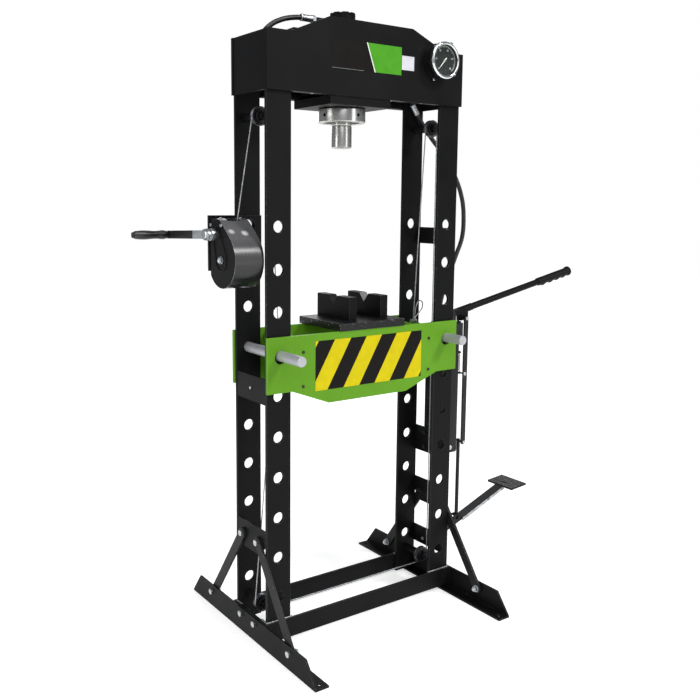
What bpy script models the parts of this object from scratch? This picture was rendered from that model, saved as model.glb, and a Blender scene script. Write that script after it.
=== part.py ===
# Hydraulic shop press with a winch-lifted bed, in metres, +Z up, front towards -Y.
import math
import bpy
import bmesh
from mathutils import Vector

for thing in list(bpy.data.objects):
    bpy.data.objects.remove(thing, do_unlink=True)

# Clearances
GAP = 0.0003
BED_SLIDE = 0.0015
ROPE_HOLE_ROOM = 0.0018
FLUSH_STEP = 0.0005
WELD_BITE = 0.002

# Posts
POST_WIDTH = 0.080
POST_THICK = 0.010
POST_SPAN = 0.626
POST_DEPTH = 0.171
POST_FOOT = 0.012
HOLE_RADIUS = 0.017
HOLE_PITCH = 0.120
HOLE_COUNT = 10
FIRST_HOLE = 0.144
BED_HOLE_INDEX = 6
TIE_THICK = 0.006
TIE_BOLT = 0.006
LEFT_TIE_LOW = 0.720
LEFT_TIE_HEIGHT = 0.075
RIGHT_TIE_LOW = 1.158
RIGHT_TIE_HEIGHT = 0.054

# Head
HEAD_PLATE = 0.010
HEAD_BOTTOM = 1.593
HEAD_SIDE = 0.159
HEAD_RISE = 0.054
HEAD_PEAK = 0.150
HEAD_SLOPE = 0.129
HEAD_OVERHANG = 0.002
HEAD_CAP = 0.012
END_PLATE = 0.006
RAIL_WIDTH = 0.016
RAIL_HEIGHT = 0.012
RAIL_INSET = 0.012

# Base
BEAM_HEIGHT = 0.060
BEAM_THICK = 0.007
SIDE_BAR_THICK = 0.008
FOOT_LENGTH = 0.730
FOOT_HEIGHT = 0.070
FOOT_THICK = 0.006
FOOT_FLANGE = 0.045
FOOT_TOE = 0.050
TOE_HOLE = 0.006
TOE_HOLE_INSET = 0.020
BRACE_WIDTH = 0.030
BRACE_BOLT = 0.006
BRACE_TOP_Y = 0.045
BRACE_TOP_Z = 0.306
BRACE_FOOT_Y = 0.232
BRACE_FOOT_Z = 0.048
BRACKET_LOW = 0.265
BRACKET_HIGH = 0.346
BRACKET_CORNER = 0.036

# Cylinder
CYLINDER_X = -0.037
MOUNT_LENGTH = 0.215
MOUNT_DEPTH = 0.194
MOUNT_THICK = 0.0247
NECK_RADIUS = 0.055
NECK_RECESS = 0.004
BARREL_RADIUS = 0.066
BARREL_BORE = 0.045
BARREL_LENGTH = 0.197
BARREL_CAP = 0.020
GLAND = 0.030
FLANGE_LENGTH = 0.190
FLANGE_DEPTH = 0.178
FLANGE_THICK = 0.008
TOP_NECK_RADIUS = 0.034
TOP_NECK_HEIGHT = 0.032
TOP_THREAD_RADIUS = 0.0297
TOP_NUT_RADIUS = 0.0375
TOP_NUT_HEIGHT = 0.020
TOP_NUT_SLOT = 0.009
TOP_NUT_SLOT_DEPTH = 0.008
NIPPLE_RADIUS = 0.0075
NIPPLE_LENGTH = 0.066
NIPPLE_DROP = 0.008
RING_RADIUS = 0.0705
RING_HEIGHT = 0.042
RING_HOLE = 0.0045
RING_HOLE_COUNT = 4
RING_HOLE_TURN = math.radians(8.0)
RING_HOLE_DEPTH = 0.009
RAM_RADIUS = 0.030
RAM_REACH = 0.0737
RAM_CHAMFER = 0.003
RAM_GROOVE_UP = 0.064
PISTON_HEIGHT = 0.030
PISTON_ROOM = 0.005
RAM_BORE = 0.017
RAM_FLOOR = 0.048
RAM_SPRING_RADIUS = 0.011
RAM_SPRING_WIRE = 0.002
RAM_SPRING_TURNS = 9

# Bed and tooling
BED_PLATE = 0.010
BED_OVERHANG = 0.004
BED_SIDE = 0.160
BED_DEEP = 0.2085
BED_FLAT = 0.147
BED_SLOPE = 0.128
BED_HOLE_RADIUS = 0.020
BED_HOLE_DROP = 0.0574
SPACER_INSET = 0.035
SPACER_THICK = 0.024
SPACER_TOP = 0.012
SPACER_HEIGHT = 0.150
SPACER_BOLT = 0.004
SPACER_BOLT_HIGH = 0.049
SPACER_BOLT_LOW = 0.149
LUG_REACH = 0.0275
LUG_WIDTH = 0.028
LUG_THICK = 0.006
ROPE_HOLE_OUT = 0.0075
ROPE_HOLE_STEP = 0.0105
PIN_RADIUS = 0.015
PIN_LENGTH = 0.324
LEFT_PIN_FRONT = -0.212
RIGHT_PIN_FRONT = -0.181
PIN_CHAMFER = 0.002
PRESS_PLATE_X = 0.0115
PRESS_PLATE_Y = 0.005
PRESS_PLATE_LENGTH = 0.245
PRESS_PLATE_DEPTH = 0.222
PRESS_PLATE_THICK = 0.0227
BLOCK_THICK = 0.028
BLOCK_LENGTH = 0.172
BLOCK_HEIGHT = 0.070
BLOCK_Y = 0.025
LEFT_BLOCK_X = -0.032
RIGHT_BLOCK_X = 0.087
NOTCH_WIDTH = 0.046
NOTCH_DEPTH = 0.028

# Ropes and pulleys
ROPE_RADIUS = 0.002
PULLEY_PITCH = 0.0238
PULLEY_RADIUS = 0.027
PULLEY_WIDTH = 0.014
TOP_PULLEY_OUT = 0.007
TOP_PULLEY_DROP = 0.063
LOW_PULLEY_OUT = 0.004
LOW_PULLEY_Z = 0.092
STUD_RADIUS = 0.008
STUD_SHOULDER = 0.012
STUD_COLLAR = 0.013
STUD_COLLAR_LENGTH = 0.006
ROPE_TAIL = 0.016

# Winch
WINCH_OUT = 0.047
WINCH_PLATE_OUT = 0.093
WINCH_PLATE_LOW = 1.095
WINCH_PLATE_HIGH = 1.253
WINCH_PLATE_THICK = 0.008
WINCH_HOLE_ROOM = 0.002
WINCH_BASE_THICK = 0.006
CHEEK_THICK = 0.004
LEFT_CHEEK_SHIFT = -0.040
RIGHT_CHEEK_SHIFT = 0.038
DRUM_Y = 0.000
DRUM_Z = 1.130
DRUM_CORE = 0.020
DRUM_FLANGE = 0.050
DRUM_SHAFT = 0.008
DRUM_LEFT_SHIFT = -0.021
DRUM_RIGHT_SHIFT = 0.034
DRUM_SHAFT_LEFT_SHIFT = -0.052
DRUM_SHAFT_RIGHT_SHIFT = 0.048
DRUM_FLANGE_THICK = 0.003
GEAR_SHIFT = -0.034
GEAR_WIDTH = 0.010
GEAR_MODULE = 0.004
GEAR_TEETH = 30
PINION_TEETH = 8
TOOTH_TIP = 0.75
TOOTH_ROOT = 1.0
TOOTH_SHARE = 0.86
PRESSURE_ANGLE = math.radians(25.0)
CRANK_ANGLE = math.radians(68.4)
CRANK_SHAFT = 0.007
CRANK_SHOULDER = 0.011
CRANK_SHAFT_TAIL = 0.002
CRANK_SHAFT_SHIFT = -0.086
CRANK_ARM_SHIFT = -0.074
CRANK_ARM_THICK = 0.008
CRANK_ARM_LENGTH = 0.262
CRANK_ARM_DROP = math.radians(2.0)
CRANK_ARM_RADIUS = 0.012
GRIP_PIN = 0.005
GRIP_PIN_HEAD = 0.009
GRIP_LENGTH = 0.108
GRIP_RADIUS = 0.014
COVER_LEFT_SHIFT = -0.044
COVER_RIGHT_SHIFT = 0.046
COVER_WALL = 0.002
COVER_RADIUS = 0.080
COVER_TOP_RADIUS = 0.044

# Gauge and hoses
GAUGE_INSET = 0.105
GAUGE_RISE = 0.127
GAUGE_FLANGE = 0.054
GAUGE_CASE = 0.050
GAUGE_BEZEL = 0.055
GAUGE_DEPTH = 0.036
DIAL_DEPTH = 0.030
GLASS_THICK = 0.0036
GAUGE_WALL = 0.0036
NEEDLE_HUB = 0.0036
BEZEL_LIP = 0.0028
BEZEL_OPENING = 0.046
GAUGE_STEM = 0.007
GAUGE_STEM_LENGTH = 0.045
NEEDLE_LENGTH = 0.036
NEEDLE_TAIL = 0.010
NEEDLE_REST = math.radians(229.0)
MANIFOLD_LENGTH = 0.060
MANIFOLD_DEPTH = 0.100
MANIFOLD_HEIGHT = 0.040
MANIFOLD_OFFSET = 0.014
HOSE_RADIUS = 0.0073
HOSE_LOOP_ROOM = 0.0297

# Pump, lever and pedal
MECHANISM_Y = -0.015
PUMP_PLATE_LOW = 0.443
PUMP_PLATE_HEIGHT = 0.087
TANK_DEPTH = 0.0767
TANK_WIDTH = 0.090
TANK_LOW = 0.447
TANK_HEIGHT = 0.393
TANK_ROUND = 0.008
BLOCK_OUT = 0.019
PUMP_BLOCK_LENGTH = 0.070
BLOCK_FRONT = -0.045
BLOCK_BACK = 0.040
PUMP_BLOCK_HEIGHT = 0.0527
LEVER_OUT = 0.052
LEVER_RISE = 0.0271
LEVER_ANGLE = math.radians(11.8)
LEVER_PIN = 0.006
LEVER_EYE = 0.009
LEVER_EYE_WIDTH = 0.0254
LEVER_BAR = 0.0085
LEVER_SOCKET = 0.0125
SOCKET_START = 0.048
SOCKET_END = 0.105
LEVER_GRIP_START = 0.438
LEVER_GRIP_END = 0.609
LEVER_GRIP_RADIUS = 0.0135
EAR_THICK = 0.006
EAR_RADIUS = 0.014
PLUNGER_OUT = 0.079
PLUNGER_RADIUS = 0.007
PLUNGER_LENGTH = 0.046
PLUNGER_UNDER = 0.0053
PLUNGER_BORE_DEPTH = 0.046
LINK_OUT = 0.110
LINK_BAR_WIDTH = 0.018
LINK_BAR_THICK = 0.005
LINK_SPREAD = 0.022
LINK_TOP_DROP = 0.014
LINK_LENGTH = 0.431
LINK_PIN = 0.004
ROD_RADIUS = 0.0065
ROD_LENGTH = 0.272
LUG_HALF = 0.009
LEVER_SLOT_X = 0.0078
LEVER_SLOT_Z = 0.0028
SLOT_ROOM = 0.0012
SPRING_RADIUS = 0.0068
SPRING_WIRE = 0.0012
SPRING_TURNS = 8
SPRING_LENGTH = 0.070
SPRING_TOP_Z = 0.786
SPRING_INSET = 0.005
SPRING_STUD = 0.003
PEDAL_OUT = 0.032
PEDAL_Z = 0.158
PEDAL_ANGLE = math.radians(20.9)
PEDAL_PIN = 0.006
PEDAL_HUB = 0.0125
PEDAL_WIDTH = 0.025
PEDAL_THICK = 0.008
PEDAL_LENGTH = 0.338
PEDAL_SLOT_X = -0.0082
PEDAL_SLOT_Z = -0.0020
PEDAL_LUG_THICK = 0.0045
PEDAL_PLATE_LOW = 0.112
PEDAL_PLATE_HIGH = 0.172
PAD_LENGTH = 0.076
PAD_WIDTH = 0.118
PAD_THICK = 0.005
PAD_RIDGE = 0.0025
PAD_RIDGES = 8
PAD_TILT = math.radians(5.0)
KNOB_OUT = 0.067
KNOB_RADIUS = 0.013
KNOB_STEM = 0.005

# Places that follow from the sizes above
post_x = POST_SPAN / 2
post_out = post_x + POST_WIDTH / 2
post_in = post_x - POST_WIDTH / 2
top_pulley_x = post_x + TOP_PULLEY_OUT
top_pulley_z = HEAD_BOTTOM - TOP_PULLEY_DROP
low_pulley_x = post_x + LOW_PULLEY_OUT
post_y = POST_DEPTH / 2
post_face = post_y + POST_THICK / 2
post_back = post_y - POST_THICK / 2
head_top = HEAD_BOTTOM + HEAD_SIDE
post_top = head_top - HEAD_CAP - GAP
head_inner = post_face + GAP
head_face = head_inner + HEAD_PLATE
side_bar_out = post_out + GAP + SIDE_BAR_THICK
foot_in = side_bar_out + GAP
bed_inner = post_face + BED_SLIDE
pin_z = FIRST_HOLE + HOLE_PITCH * BED_HOLE_INDEX - HOLE_RADIUS + PIN_RADIUS + GAP
bed_hole_z = pin_z + PIN_RADIUS + GAP - BED_HOLE_RADIUS
bed_top = bed_hole_z + BED_HOLE_DROP
lug_top = bed_top - SPACER_TOP
spacer_x = post_in - SPACER_INSET
spacer_out = spacer_x + SPACER_THICK / 2
rope_hole_x = spacer_out + ROPE_HOLE_OUT
far_rope_hole_x = rope_hole_x + ROPE_HOLE_STEP
plate_top = bed_top + GAP + PRESS_PLATE_THICK
mount_top = HEAD_BOTTOM - GAP
mount_low = mount_top - MOUNT_THICK
ring_top = mount_low - GAP
ring_low = ring_top - RING_HEIGHT
neck_low = ring_low + NECK_RECESS
barrel_top = HEAD_BOTTOM + BARREL_LENGTH
bore_top = barrel_top - BARREL_CAP
bore_low = neck_low + GLAND
top_neck = barrel_top + TOP_NECK_HEIGHT
ram_low = ring_low - RAM_REACH
ram_top = bore_top - PISTON_ROOM
nipple_z = top_neck - NIPPLE_DROP
nipple_end = CYLINDER_X - TOP_NECK_RADIUS - NIPPLE_LENGTH
gear_pitch = GEAR_MODULE * GEAR_TEETH / 2
pinion_pitch = GEAR_MODULE * PINION_TEETH / 2
crank_y = DRUM_Y + (gear_pitch + pinion_pitch) * math.cos(CRANK_ANGLE)
crank_z = DRUM_Z + (gear_pitch + pinion_pitch) * math.sin(CRANK_ANGLE)
winch_x = -post_out - WINCH_OUT
winch_plate_left = -post_out - WINCH_PLATE_OUT
left_cheek_x = winch_x + LEFT_CHEEK_SHIFT
right_cheek_x = winch_x + RIGHT_CHEEK_SHIFT
drum_left = winch_x + DRUM_LEFT_SHIFT
drum_right = winch_x + DRUM_RIGHT_SHIFT
drum_shaft_left = winch_x + DRUM_SHAFT_LEFT_SHIFT
drum_shaft_right = winch_x + DRUM_SHAFT_RIGHT_SHIFT
gear_left = winch_x + GEAR_SHIFT
crank_shaft_left = winch_x + CRANK_SHAFT_SHIFT
crank_arm_left = winch_x + CRANK_ARM_SHIFT
cover_left = winch_x + COVER_LEFT_SHIFT
cover_right = winch_x + COVER_RIGHT_SHIFT
winch_plate_y = post_back - GAP
winch_base_y = winch_plate_y - WINCH_PLATE_THICK - GAP
cover_back = winch_base_y - WINCH_BASE_THICK - GAP
gauge_x = post_out - GAUGE_INSET
gauge_z = HEAD_BOTTOM + GAUGE_RISE
stem_end = -head_face + GAUGE_STEM_LENGTH
manifold_left = gauge_x - MANIFOLD_OFFSET - GAP
manifold_low = gauge_z - MANIFOLD_HEIGHT / 2
tank_top = TANK_LOW + TANK_HEIGHT
tank_out = post_out + GAP + TANK_DEPTH
block_top = tank_top + GAP + PUMP_BLOCK_HEIGHT
block_left = post_out + BLOCK_OUT
block_right = block_left + PUMP_BLOCK_LENGTH
lever_x = post_out + LEVER_OUT
plunger_x = post_out + PLUNGER_OUT
link_x = post_out + LINK_OUT
spring_x = link_x - SPRING_INSET
pedal_x = post_out + PEDAL_OUT
knob_x = post_out + KNOB_OUT
lever_z = block_top + LEVER_RISE
link_top = lever_z - LINK_TOP_DROP
link_low = link_top - LINK_LENGTH
rod_low = link_low - ROD_LENGTH
plunger_top = lever_z - PLUNGER_UNDER
ear_in = LEVER_EYE_WIDTH / 2 + GAP
spring_low_z = SPRING_TOP_Z - SPRING_LENGTH

X = Vector((1.0, 0.0, 0.0))
Y = Vector((0.0, 1.0, 0.0))
Z = Vector((0.0, 0.0, 1.0))
SIDES = (("left", -1), ("right", 1))
ROWS = (("front", -1), ("back", 1))

# Colour, metallic and roughness of each finish
FINISHES = {
    "black_paint": ((0.010, 0.010, 0.011), 0.0, 0.42),
    "green_paint": ((0.145, 0.376, 0.026), 0.0, 0.38),
    "zinc": ((0.56, 0.57, 0.58), 1.0, 0.35),
    "bright_steel": ((0.66, 0.66, 0.66), 1.0, 0.22),
    "dark_steel": ((0.06, 0.06, 0.06), 1.0, 0.45),
    "chrome": ((0.75, 0.75, 0.76), 1.0, 0.10),
    "rope_steel": ((0.45, 0.45, 0.45), 1.0, 0.40),
    "rubber": ((0.013, 0.013, 0.013), 0.0, 0.65),
    "black_plastic": ((0.012, 0.012, 0.012), 0.0, 0.50),
    "white_paint": ((0.80, 0.80, 0.78), 0.0, 0.50),
    "clear_glass": ((0.80, 0.85, 0.86), 0.0, 0.05),
}

press = bpy.data.objects.new("press", None)
bpy.context.scene.collection.objects.link(press)


def paint(obj, finish):
    colour, metallic, roughness = FINISHES[finish]
    material = bpy.data.materials.new(obj.name)
    material.use_nodes = True
    shader = material.node_tree.nodes["Principled BSDF"]
    shader.inputs["Base Color"].default_value = (*colour, 1.0)
    shader.inputs["Metallic"].default_value = metallic
    shader.inputs["Roughness"].default_value = roughness
    material.diffuse_color = (*colour, 1.0)
    obj.data.materials.append(material)


def rect(a0, b0, a1, b1):
    return [(a0, b0), (a1, b0), (a1, b1), (a0, b1)]


def arc(a, b, radius, start, end, steps):
    angles = [start + (end - start) * i / steps for i in range(steps + 1)]
    return [(a + radius * math.cos(t), b + radius * math.sin(t)) for t in angles]


def circle(a, b, radius, steps):
    return arc(a, b, radius, 0.0, 2 * math.pi, steps)[:-1]


def bore_for(radius, steps):
    return (radius + GAP) / math.cos(math.pi / steps)


def stadium(a0, b0, a1, b1, radius, steps):
    turn = math.atan2(b1 - b0, a1 - a0)
    far = arc(a1, b1, radius, turn - math.pi / 2, turn + math.pi / 2, steps)
    near = arc(a0, b0, radius, turn + math.pi / 2, turn + 3 * math.pi / 2, steps)
    return far + near


def prism(loops, depth, origin, u, v):
    bm = bmesh.new()
    start = Vector(origin)
    for loop in loops:
        ring = [bm.verts.new(start + u * a + v * b) for a, b in loop]
        for i in range(len(ring)):
            bm.edges.new((ring[i - 1], ring[i]))
    filled = bmesh.ops.triangle_fill(bm, use_beauty=True, edges=bm.edges[:])
    faces = [part for part in filled["geom"] if isinstance(part, bmesh.types.BMFace)]
    grown = bmesh.ops.extrude_face_region(bm, geom=faces)
    moved = [part for part in grown["geom"] if isinstance(part, bmesh.types.BMVert)]
    bmesh.ops.translate(bm, verts=moved, vec=u.cross(v) * depth)
    return bm


def box(low, high):
    outline = rect(low[0], low[1], high[0], high[1])
    return prism([outline], high[2] - low[2], (0.0, 0.0, low[2]), X, Y)


def side_axes(axis):
    first = axis.orthogonal().normalized()
    return first, axis.cross(first)


def lathe(profile, origin, axis, steps):
    bm = bmesh.new()
    axis = Vector(axis).normalized()
    first, second = side_axes(axis)
    rings = []
    for radius, height in profile:
        centre = Vector(origin) + axis * height
        if radius == 0.0:
            rings.append([bm.verts.new(centre)])
            continue
        ring = []
        for a, b in circle(0.0, 0.0, radius, steps):
            ring.append(bm.verts.new(centre + first * a + second * b))
        rings.append(ring)
    for i in range(len(rings)):
        skin(bm, rings[i - 1], rings[i])
    return bm


def skin(bm, below, above):
    if len(below) == 1 and len(above) == 1:
        return
    steps = max(len(below), len(above))
    for i in range(steps):
        j = (i + 1) % steps
        if len(below) == 1:
            bm.faces.new((below[0], above[j], above[i]))
        elif len(above) == 1:
            bm.faces.new((below[i], below[j], above[0]))
        else:
            bm.faces.new((below[i], below[j], above[j], above[i]))


def rod(radius, start, axis, length, steps):
    return lathe([(0.0, 0.0), (radius, 0.0), (radius, length), (0.0, length)], start, axis, steps)


def mesh_object(name, bm, pivot):
    bmesh.ops.translate(bm, verts=bm.verts[:], vec=-Vector(pivot))
    bmesh.ops.recalc_face_normals(bm, faces=bm.faces[:])
    mesh = bpy.data.meshes.new(name)
    bm.to_mesh(mesh)
    bm.free()
    mesh.shade_smooth()
    mesh.set_sharp_from_angle(angle=math.radians(35.0))
    obj = bpy.data.objects.new(name, mesh)
    bpy.context.scene.collection.objects.link(obj)
    obj.location = pivot
    obj.parent = press
    return obj


def solid(name, bm, finish, pivot=(0.0, 0.0, 0.0)):
    obj = mesh_object(name, bm, pivot)
    paint(obj, finish)
    return obj


def combine(obj, bm, operation):
    tool = mesh_object(f"{obj.name}_{operation.lower()}_{len(obj.modifiers)}", bm, (0.0, 0.0, 0.0))
    tool.hide_render = True
    tool.display_type = "WIRE"
    step = obj.modifiers.new(operation.lower(), "BOOLEAN")
    step.operation = operation
    step.solver = "EXACT"
    step.object = tool


def join(obj, bm):
    combine(obj, bm, "UNION")


def cut(obj, bm):
    combine(obj, bm, "DIFFERENCE")


def round_edges(obj, width, segments):
    step = obj.modifiers.new("round", "BEVEL")
    step.width = width
    step.segments = segments
    step.limit_method = "ANGLE"
    step.angle_limit = math.radians(50.0)


def tube(name, points, radius, finish, resolution):
    curve = bpy.data.curves.new(name, "CURVE")
    curve.dimensions = "3D"
    curve.bevel_depth = radius
    curve.bevel_resolution = resolution
    curve.use_fill_caps = True
    spline = curve.splines.new("POLY")
    spline.points.add(len(points) - 1)
    for spot, point in zip(spline.points, points):
        spot.co = (point[0], point[1], point[2], 1.0)
    obj = bpy.data.objects.new(name, curve)
    bpy.context.scene.collection.objects.link(obj)
    obj.parent = press
    paint(obj, finish)
    return obj


def smooth_route(points, steps):
    knots = [Vector(p) for p in points]
    knots = [knots[0] * 2 - knots[1]] + knots + [knots[-1] * 2 - knots[-2]]
    out = []
    for i in range(1, len(knots) - 2):
        p0, p1, p2, p3 = knots[i - 1:i + 3]
        for k in range(steps):
            t = k / steps
            bend = (p1 * 2 + (p2 - p0) * t + (p0 * 2 - p1 * 5 + p2 * 4 - p3) * t * t
                    + (p1 * 3 - p0 - p2 * 3 + p3) * t * t * t)
            out.append(bend * 0.5)
    out.append(knots[-2])
    return out


def coil(axis_start, length, radius, wire, turns):
    lead = 4 * wire
    count = turns * 8
    rise = (length - 2 * lead) / count
    points = [Vector(axis_start) + X * radius]
    for i in range(count + 1):
        turn = 2 * math.pi * i / 8
        lift = lead + rise * i
        step = Vector((radius * math.cos(turn), radius * math.sin(turn), lift))
        points.append(Vector(axis_start) + step)
    points.append(Vector(axis_start) + X * radius + Z * length)
    return points


def least_gap(points, wire, turn_points):
    spans = []
    for i in range(len(points)):
        for j in range(i + turn_points // 2, len(points)):
            spans.append((points[i] - points[j]).length)
    return min(spans) - 2 * wire


def tie_plate(sx, low, height, hole):
    left = min(sx * (post_out - FLUSH_STEP), sx * (post_out - TIE_THICK))
    loops = [rect(-(post_back - GAP), low, post_y, low + height)]
    if hole:
        loops.append(circle(0.0, low + height / 2, TIE_BOLT, 12))
    return prism(loops, TIE_THICK - FLUSH_STEP, (left, 0.0, 0.0), Y, Z)


def pulley_stud(x, z):
    shoulder = post_y - PULLEY_WIDTH / 2 - GAP
    collar = post_y + PULLEY_WIDTH / 2 + GAP
    profile = [(0.0, 0.0), (STUD_SHOULDER, 0.0), (STUD_SHOULDER, shoulder), (STUD_RADIUS, shoulder),
               (STUD_RADIUS, collar), (STUD_COLLAR, collar), (STUD_COLLAR, collar + STUD_COLLAR_LENGTH),
               (0.0, collar + STUD_COLLAR_LENGTH)]
    return lathe(profile, (x, post_y, z), -Y, 10)


def make_posts():
    for side, sx in SIDES:
        for row, sy in ROWS:
            outline = rect(-POST_WIDTH / 2, POST_FOOT, POST_WIDTH / 2, post_top)
            holes = [circle(0.0, FIRST_HOLE + HOLE_PITCH * i, HOLE_RADIUS, 16) for i in range(HOLE_COUNT)]
            place = (sx * post_x, sy * post_y + POST_THICK / 2, 0.0)
            bar = prism([outline] + holes, POST_THICK, place, X, Z)
            post = solid(f"{row}_{side}_post", bar, "black_paint")
            if row == "back":
                join(post, pulley_stud(sx * top_pulley_x, top_pulley_z))
                join(post, pulley_stud(sx * low_pulley_x, LOW_PULLEY_Z))
                low = LEFT_TIE_LOW if side == "left" else RIGHT_TIE_LOW
                height = LEFT_TIE_HEIGHT if side == "left" else RIGHT_TIE_HEIGHT
                join(post, tie_plate(sx, low, height, side == "left"))


def head_outline():
    half = post_out + HEAD_OVERHANG
    shoulder = HEAD_PEAK + HEAD_SLOPE
    right = [(half, HEAD_BOTTOM), (half, head_top), (shoulder, head_top),
             (HEAD_PEAK, head_top + HEAD_RISE)]
    left = [(-a, b) for a, b in reversed(right)]
    return right + left


def make_head():
    gauge_hole = circle(gauge_x, gauge_z, bore_for(GAUGE_STEM, 14), 14)
    front = prism([head_outline(), gauge_hole], HEAD_PLATE, (0.0, -head_inner, 0.0), X, Z)
    head = solid("head_box", front, "black_paint")
    join(head, prism([head_outline()], HEAD_PLATE, (0.0, head_face, 0.0), X, Z))
    half = post_back - GAP
    wide = head_inner + WELD_BITE
    step = post_top + GAP
    cap = head_top - FLUSH_STEP
    end = [(-half, HEAD_BOTTOM), (half, HEAD_BOTTOM), (half, step), (wide, step), (wide, cap),
           (-wide, cap), (-wide, step), (-half, step)]
    for side, sx in SIDES:
        left = min(sx * post_out, sx * (post_out - END_PLATE))
        join(head, prism([end], END_PLATE, (left, 0.0, 0.0), Y, Z))
    reach = post_in - RAIL_INSET
    for row, sy in ROWS:
        near = sy * (head_inner + WELD_BITE)
        far = sy * (head_inner - RAIL_WIDTH)
        low = (-reach, min(near, far), HEAD_BOTTOM + FLUSH_STEP)
        join(head, box(low, (reach, max(near, far), HEAD_BOTTOM + RAIL_HEIGHT)))


def make_base():
    out_x = side_bar_out
    out_y = post_face + GAP + BEAM_THICK
    in_x = post_out + GAP
    in_y = post_face + GAP
    loops = [rect(-out_x, -out_y, out_x, out_y), rect(-in_x, -in_y, in_x, in_y)]
    solid("base_frame", prism(loops, BEAM_HEIGHT, (0.0, 0.0, POST_FOOT), X, Y), "black_paint")
    half = FOOT_LENGTH / 2
    leg = [(-half, 0.0), (half, 0.0), (half, FOOT_THICK), (half - FOOT_TOE, FOOT_HEIGHT),
           (FOOT_TOE - half, FOOT_HEIGHT), (-half, FOOT_THICK)]
    for side, sx in SIDES:
        left = min(sx * foot_in, sx * (foot_in + FOOT_THICK))
        foot = solid(f"{side}_foot", prism([leg], FOOT_THICK, (left, 0.0, 0.0), Y, Z), "black_paint")
        near = sx * (foot_in + FOOT_THICK / 2)
        far = sx * (foot_in + FOOT_THICK - FOOT_FLANGE)
        middle = sx * (foot_in - FOOT_FLANGE / 2 + FOOT_THICK / 2)
        toes = [circle(middle, sy * (half - TOE_HOLE_INSET), TOE_HOLE, 12) for sy in (-1, 1)]
        flange = [rect(min(near, far), -half, max(near, far), half)] + toes
        join(foot, prism(flange, FOOT_THICK, (0.0, 0.0, 0.0), X, Y))


def make_braces():
    for side, sx in SIDES:
        left = min(sx * (post_out + GAP), sx * side_bar_out)
        for row, sy in ROWS:
            top_y = sy * BRACE_TOP_Y
            foot_y = sy * BRACE_FOOT_Y
            outline = stadium(top_y, BRACE_TOP_Z, foot_y, BRACE_FOOT_Z, BRACE_WIDTH / 2, 6)
            holes = [circle(top_y, BRACE_TOP_Z, BRACE_BOLT, 12)]
            holes.append(circle(foot_y, BRACE_FOOT_Z, BRACE_BOLT, 12))
            bar = prism([outline] + holes, SIDE_BAR_THICK, (left, 0.0, 0.0), Y, Z)
            solid(f"{row}_{side}_brace", bar, "black_paint")
        half = post_back - GAP
        inner = half - BRACKET_CORNER
        corner = BRACKET_LOW + BRACKET_CORNER
        outline = [(-inner, BRACKET_LOW), (inner, BRACKET_LOW), (half, corner), (half, BRACKET_HIGH),
                   (-half, BRACKET_HIGH), (-half, corner)]
        holes = [circle(sy * BRACE_TOP_Y, BRACE_TOP_Z, BRACE_BOLT, 12) for sy in (-1, 1)]
        left = min(sx * post_out, sx * (post_out - TIE_THICK))
        plate = prism([outline] + holes, TIE_THICK, (left, 0.0, 0.0), Y, Z)
        solid(f"{side}_brace_bracket", plate, "black_paint")


def make_cylinder():
    centre = (CYLINDER_X, 0.0, 0.0)
    half_x = MOUNT_LENGTH / 2
    half_y = MOUNT_DEPTH / 2
    loops = [rect(-half_x, -half_y, half_x, half_y), circle(0.0, 0.0, bore_for(NECK_RADIUS, 24), 24)]
    plate = prism(loops, MOUNT_THICK, (CYLINDER_X, 0.0, mount_low), X, Y)
    solid("cylinder_mount_plate", plate, "black_paint", centre)
    gland_bore = bore_for(RAM_RADIUS, 24)
    profile = [(0.0, bore_top), (BARREL_BORE, bore_top), (BARREL_BORE, bore_low), (gland_bore, bore_low),
               (gland_bore, neck_low), (NECK_RADIUS, neck_low), (NECK_RADIUS, HEAD_BOTTOM),
               (BARREL_RADIUS, HEAD_BOTTOM), (BARREL_RADIUS, barrel_top), (TOP_NECK_RADIUS, barrel_top),
               (TOP_NECK_RADIUS, top_neck), (TOP_THREAD_RADIUS, top_neck),
               (TOP_THREAD_RADIUS, top_neck + TOP_NUT_HEIGHT), (0.0, top_neck + TOP_NUT_HEIGHT)]
    barrel = solid("cylinder_barrel", lathe(profile, centre, Z, 24), "black_paint", centre)
    flange_low = HEAD_BOTTOM + RAIL_HEIGHT + GAP
    loops = [rect(-FLANGE_LENGTH / 2, -FLANGE_DEPTH / 2, FLANGE_LENGTH / 2, FLANGE_DEPTH / 2),
             circle(0.0, 0.0, BARREL_RADIUS - WELD_BITE * 2, 24)]
    join(barrel, prism(loops, FLANGE_THICK, (CYLINDER_X, 0.0, flange_low), X, Y))
    start = (CYLINDER_X - TOP_NECK_RADIUS / 2, 0.0, nipple_z)
    join(barrel, rod(NIPPLE_RADIUS, start, -X, NIPPLE_LENGTH + TOP_NECK_RADIUS / 2, 12))
    make_ring_nut(centre)
    make_top_nut(centre)
    make_ram(centre)


def make_ring_nut(centre):
    bevel = RAM_CHAMFER
    bore = bore_for(NECK_RADIUS, 28)
    profile = [(bore, ring_low), (RING_RADIUS - bevel, ring_low), (RING_RADIUS, ring_low + bevel),
               (RING_RADIUS, ring_top - bevel), (RING_RADIUS - bevel, ring_top), (bore, ring_top)]
    ring = solid("cylinder_ring_nut", lathe(profile, centre, Z, 28), "bright_steel", centre)
    for i in range(RING_HOLE_COUNT):
        turn = RING_HOLE_TURN + 2 * math.pi * i / RING_HOLE_COUNT
        out = Vector((math.cos(turn), math.sin(turn), 0.0))
        start = Vector(centre) + out * (RING_RADIUS - RING_HOLE_DEPTH) + Z * (ring_low + RING_HEIGHT / 2)
        cut(ring, rod(RING_HOLE, start, out, RING_HOLE_DEPTH * 2, 8))


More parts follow.
